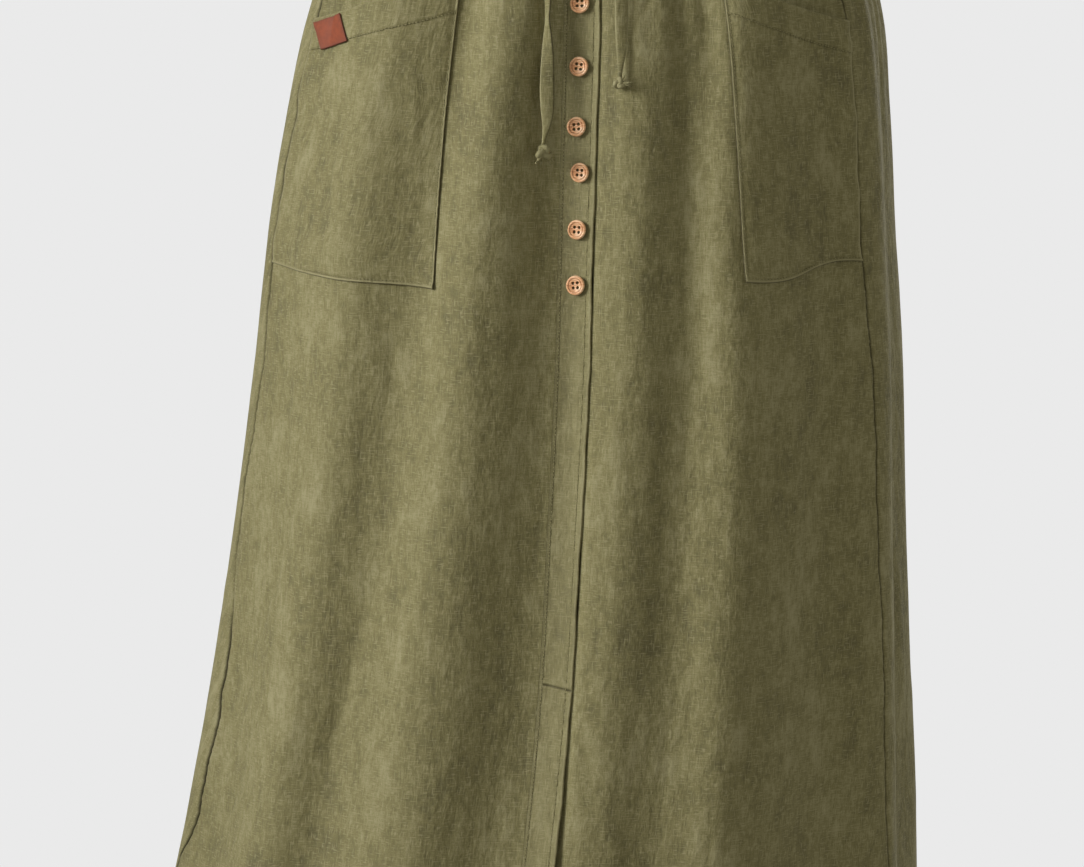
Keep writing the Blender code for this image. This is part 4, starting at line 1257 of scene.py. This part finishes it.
class SKIRT_OT_patch(Operator):
    """Sew the plain leather patch on the right pocket's hem"""
    bl_idname = "skirt.patch"
    bl_label = "Leather patch"

    def execute(self, context):
        angle, drop, _ = pocket_place("right", np.array(LABEL_START), np.array(0.05))
        seam, inner, _ = front_marks("right", drop)
        near = section_points(np.array([angle + 4, angle + 4.5]), np.array([drop, drop]))
        width = LABEL_WIDTH / (line_lengths(near)[-1] / 0.5) / (inner - seam)
        height = LABEL_HEIGHT / (POCKETS["right"].seam_bottom - POCKETS["right"].seam_top)
        grid_across, grid_down = np.meshgrid(*(
            eased_steps(side, 1.2, (0.25, 0.6, 1.0)) / side for side in (LABEL_WIDTH, LABEL_HEIGHT)))
        across = LABEL_START + width * grid_across + LABEL_SKEW * grid_down
        down = 0.01 + height * grid_down + LABEL_TILT * (1 - grid_across)
        middle, normal, _ = pocket_surface("right", across, down)
        rim = np.minimum(np.minimum(grid_across, 1 - grid_across) * LABEL_WIDTH,
                         np.minimum(grid_down, 1 - grid_down) * LABEL_HEIGHT)
        make_wall("leather_patch", "leather_label", materials()["leather"], middle, normal,
                  LABEL_OFF - 0.22 * bell(rim - LABEL_STITCH, 0.35), LABEL_THICKNESS / 2 * rounding(rim, 0.5),
                  (grid_across * LABEL_WIDTH, grid_down * LABEL_HEIGHT), LABEL_OFF, slot="leather",
                  worn=bell(rim, 0.8) + 0.45 * bell(rim - LABEL_STITCH, 0.5))
        return {"FINISHED"}


class SKIRT_OT_buttons(Operator):
    """Turn the wooden buttons and sew them down the band"""
    bl_idname = "skirt.buttons"
    bl_label = "Buttons"

    def loose_object(self, bm, name):
        made = bpy.data.objects.new(name, mesh_of(bm, name))
        bpy.context.scene.collection.objects.link(made)
        return made

    def button_mesh(self):
        """A turned blank with four drilled holes."""
        bm = bmesh.new()
        rings = [[bm.verts.new(Vector((radius * x, radius * y, height)) * MM)
                  for x, y in circle(BUTTON_SIDES)] for radius, height in BUTTON_PROFILE]
        join_rings(bm, rings)
        cap_rings(bm, rings)
        blank = self.loose_object(bm, "button_blank")
        bm = bmesh.new()
        for x, y in ((-1, -1), (-1, 1), (1, -1), (1, 1)):
            place = Matrix.Translation(Vector((x, y, 1.0)) * (HOLE_SPACING / 2 * MM))
            bmesh.ops.create_cone(bm, cap_ends=True, segments=HOLE_SIDES, radius1=HOLE_RADIUS * MM,
                                  radius2=HOLE_RADIUS * MM, depth=HOLE_DEPTH * MM, matrix=place)
        cutter = self.loose_object(bm, "button_holes")
        holes = blank.modifiers.new("holes", "BOOLEAN")
        holes.operation = "DIFFERENCE"
        holes.solver = "EXACT"
        holes.object = cutter
        mesh = bpy.data.meshes.new_from_object(blank.evaluated_get(bpy.context.evaluated_depsgraph_get()))
        mesh.name = "wooden_button"
        # painted shade: the side wall and the ring groove are darker
        x, y, height = (points_of(mesh) / MM).T
        groove = 0.5 * bell(np.hypot(x, y) - 4.95, 0.3)
        mark_points(mesh, worn=np.maximum((1.5 - height) / 0.6, groove))
        for made in (blank, cutter):
            bpy.data.objects.remove(made, do_unlink=True)
        mesh.shade_smooth()
        mesh.set_sharp_from_angle(angle=math.radians(50))
        mesh.materials.clear()
        return mesh

    def execute(self, context):
        settings = materials()
        mesh = self.button_mesh()
        shanks = []
        for number, button in enumerate(BUTTONS, start=1):
            low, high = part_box(f"button_{number}")
            angle = section_value("band", button.drop) + degrees_at_front(button.aside, button.drop)
            place = np.array([angle]), np.array([float(button.drop)])
            normal = Vector(cloth_normal(*place, "over", plain=True)[0])
            base = (Vector(low) + Vector(high)) / 2 - normal * (BUTTON_HEIGHT / 2 * MM)
            turn = normal.to_track_quat("Z", "Y").to_matrix().to_4x4()
            spin = Matrix.Rotation(math.radians(7.0 * math.sin(2.3 * number)), 4, "Z")
            piece = new_object(f"wooden_button_{number}", mesh.copy(), settings["wood"], f"button_{number}",
                               slot="buttons")
            piece.matrix_world = Matrix.Translation(base) @ turn @ spin
            root = base / MM - Vector((0, 0, WAISTBAND_HEIGHT / 2))
            path = [root - normal * 1.1, root - normal * 0.4, root + normal * 0.05]
            shanks.append((path, [2.6, 2.3, 2.4], False))
        new_object("button_shanks", tube_mesh("button_shanks", shanks, 14), settings["thread"])
        return {"FINISHED"}


class SKIRT_OT_sewing(Operator):
    """Sew the rows of stitches that show"""
    bl_idname = "skirt.sewing"
    bl_label = "Topstitching"

    def level_row(self, start, end, count, drop, layer, off):
        angle = np.linspace(start, end, count)
        return run_places(angle, np.full_like(angle, drop), layer, off)

    def pocket_rows(self):
        """Rows down each pocket's inner edge, along its bottom and along its hem."""
        for side, pocket in POCKETS.items():
            height = pocket.seam_bottom - pocket.seam_top
            inset = EDGE_STITCH / pocket.width
            bottom = 1 - EDGE_STITCH / height
            along = np.linspace(0.012, bottom, 200)
            across = np.linspace(0.02, 1 - inset, 160)
            hem = (POCKET_HEM - POCKET_HEM_TAPER * across) / (height + 15)
            rows = ((np.full_like(along, 1 - inset), along, 0.1),
                    (across, np.full_like(across, bottom), 0.1), (across, hem, 0.3))
            for row_across, row_down, off in rows:
                middle, normal, _ = pocket_surface(side, row_across, row_down)
                yield middle + normal * (CLOTH / 2 + off), normal

    def execute(self, context):
        settings = materials()
        drop = np.arange(WAISTBAND_HEIGHT + 3, SKIRT_LENGTH - 1, 1.0)
        right, left = band_edges(drop)
        off = BAND_CLOTH / 2 + 0.05
        sewn = run_places(right + degrees_at_front(EDGE_STITCH, drop), drop, "over", off)
        make_stitching("stitches_band", [sewn], settings)
        free = run_places(left - degrees_at_front(BAND_FREE_STITCH, drop), drop, "over", off)
        make_stitching("stitches_free_edge", [free], settings, 0.2)
        make_stitching("stitches_pockets", list(self.pocket_rows()), settings, 0.3)
        right, left = (float(edge) for edge in band_edges(SKIRT_LENGTH))
        stretches = (("over", -68.5, right - 0.4), ("under", left + 0.6, 65.0), ("back", 66.2, 290.4))
        runs = [self.level_row(start, end, int(abs(end - start) * 4), SKIRT_LENGTH - HEM_STITCH, layer,
                               CLOTH / 2) for layer, start, end in stretches]
        make_stitching("stitches_hem", runs, settings)
        runs = []
        for row in WAIST_STITCHES:
            right, left = (float(edge) for edge in band_edges(row))
            runs.append(self.level_row(right + 0.8, 359.4 + left - 0.8, 1400, row, "waist_under",
                                       WAISTBAND_CLOTH / 2 - 0.25))
        make_stitching("stitches_waistband", runs, settings)
        return {"FINISHED"}


class SKIRT_OT_stage(Operator):
    """Set up the pale floor, the soft light and the camera"""
    bl_idname = "skirt.stage"
    bl_label = "Stage"

    def add(self, scene, name, data):
        made = bpy.data.objects.new(name, data)
        scene.collection.objects.link(made)
        return made

    def place_camera(self, scene):
        turn = math.radians(AZIMUTH)
        tilt = math.radians(LOOKING_DOWN)
        look = Vector((LOOK_ASIDE * math.cos(turn), LOOK_ASIDE * math.sin(turn),
                       WAISTBAND_HEIGHT / 2 - LOOK_DROP))
        ahead = Vector((-math.sin(turn) * math.cos(tilt), math.cos(turn) * math.cos(tilt), -math.sin(tilt)))
        data = bpy.data.cameras.new("camera")
        data.lens = CAMERA_LENS
        data.sensor_width = CAMERA_SENSOR
        camera = self.add(scene, "camera", data)
        camera.location = (look - ahead * CAMERA_DISTANCE) * MM
        camera.rotation_euler = (math.pi / 2 - tilt, 0.0, turn)
        scene.camera = camera

    def make_floor(self, scene, colour):
        """A turned floor that curves up into a backdrop all round."""
        bm = bmesh.new()
        profile = [(radius, 0.0) for radius in FLOOR_RINGS]
        for step in range(1, 13):
            turn = math.pi / 2 * step / 12
            profile.append((FLOOR_RINGS[-1] + FLOOR_BEND * math.sin(turn), FLOOR_BEND * (1 - math.cos(turn))))
        profile.append((FLOOR_RINGS[-1] + FLOOR_BEND, FLOOR_WALL))
        rings = [[bm.verts.new((radius * x, radius * y, height - FLOOR_DROP * MM))
                  for x, y in circle(FLOOR_SIDES)] for radius, height in profile]
        bm.faces.new(rings[0])
        join_rings(bm, rings)
        mesh = mesh_of(bm, "pale_floor")
        mesh.shade_smooth()
        material, tree, shader = new_material("matt_pale_paint")
        finish_surface(tree, shader, {
            "Base Color": (0.0, 0.0, 0.0, 1.0), "Roughness": 1.0, "Specular IOR Level": 0.0,
            "Emission Color": (*colour, 1.0), "Emission Strength": 1.0})
        mesh.materials.append(material)
        floor = self.add(scene, "pale_floor", mesh)
        floor.visible_diffuse = False
        floor.visible_glossy = False
        floor.visible_shadow = False

    def execute(self, context):
        scene = context.scene
        stage = scene.skirt_stage
        self.place_camera(scene)
        self.make_floor(scene, stage.floor)
        for light in LIGHTS:
            data = bpy.data.lights.new(f"{light.name}_light", "AREA")
            data.shape = "DISK"
            data.size = light.size
            data.energy = getattr(stage, f"{light.name}_power")
            data.color = light.colour
            data.spread = math.radians(light.spread)
            made = self.add(scene, data.name, data)
            turn, rise = math.radians(light.azimuth), math.radians(light.elevation)
            way = Vector((math.sin(turn) * math.cos(rise), -math.cos(turn) * math.cos(rise), math.sin(rise)))
            made.location = way * light.distance + Vector(SKIRT_MIDDLE)
            made.rotation_euler = (Vector(light.aim) - made.location).to_track_quat("-Z", "Y").to_euler()
        world = bpy.data.worlds.new("studio")
        world.use_nodes = True
        background = world.node_tree.nodes["Background"]
        background.inputs["Color"].default_value = (1.0, 0.955, 0.83, 1.0)
        background.inputs["Strength"].default_value = stage.ambient
        scene.world = world
        scene.view_settings.view_transform = "Standard"
        scene.view_settings.look = "None"
        return {"FINISHED"}


OPERATORS = (SKIRT_OT_stage, SKIRT_OT_drawstring, SKIRT_OT_panels, SKIRT_OT_band, SKIRT_OT_pockets,
             SKIRT_OT_patch, SKIRT_OT_buttons, SKIRT_OT_sewing)
GROUPS = {"skirt_cloth": SkirtCloth, "skirt_trim": SkirtTrim, "skirt_stage": SkirtStage}


class SKIRT_PT_panel(Panel):
    """Lists the skirt's pieces and its settings"""
    bl_idname = "SKIRT_PT_panel"
    bl_label = "Linen midi skirt"
    bl_space_type = "VIEW_3D"
    bl_region_type = "UI"
    bl_category = "Skirt"

    def draw(self, context):
        for group in GROUPS:
            settings = getattr(context.scene, group)
            box = self.layout.box()
            for name in type(settings).__annotations__:
                box.prop(settings, name)
        for operator in OPERATORS:
            self.layout.operator(operator.bl_idname)


CLASSES = (*GROUPS.values(), *OPERATORS, SKIRT_PT_panel)


def register():
    for item in CLASSES:
        bpy.utils.register_class(item)
    for name, group in GROUPS.items():
        setattr(bpy.types.Scene, name, PointerProperty(type=group))


def unregister():
    for name in GROUPS:
        delattr(bpy.types.Scene, name)
    for item in reversed(CLASSES):
        bpy.utils.unregister_class(item)


def main():
    register()
    for operator in OPERATORS:
        group, name = operator.bl_idname.split(".")
        getattr(getattr(bpy.ops, group), name)()


if __name__ == "__main__":
    main()
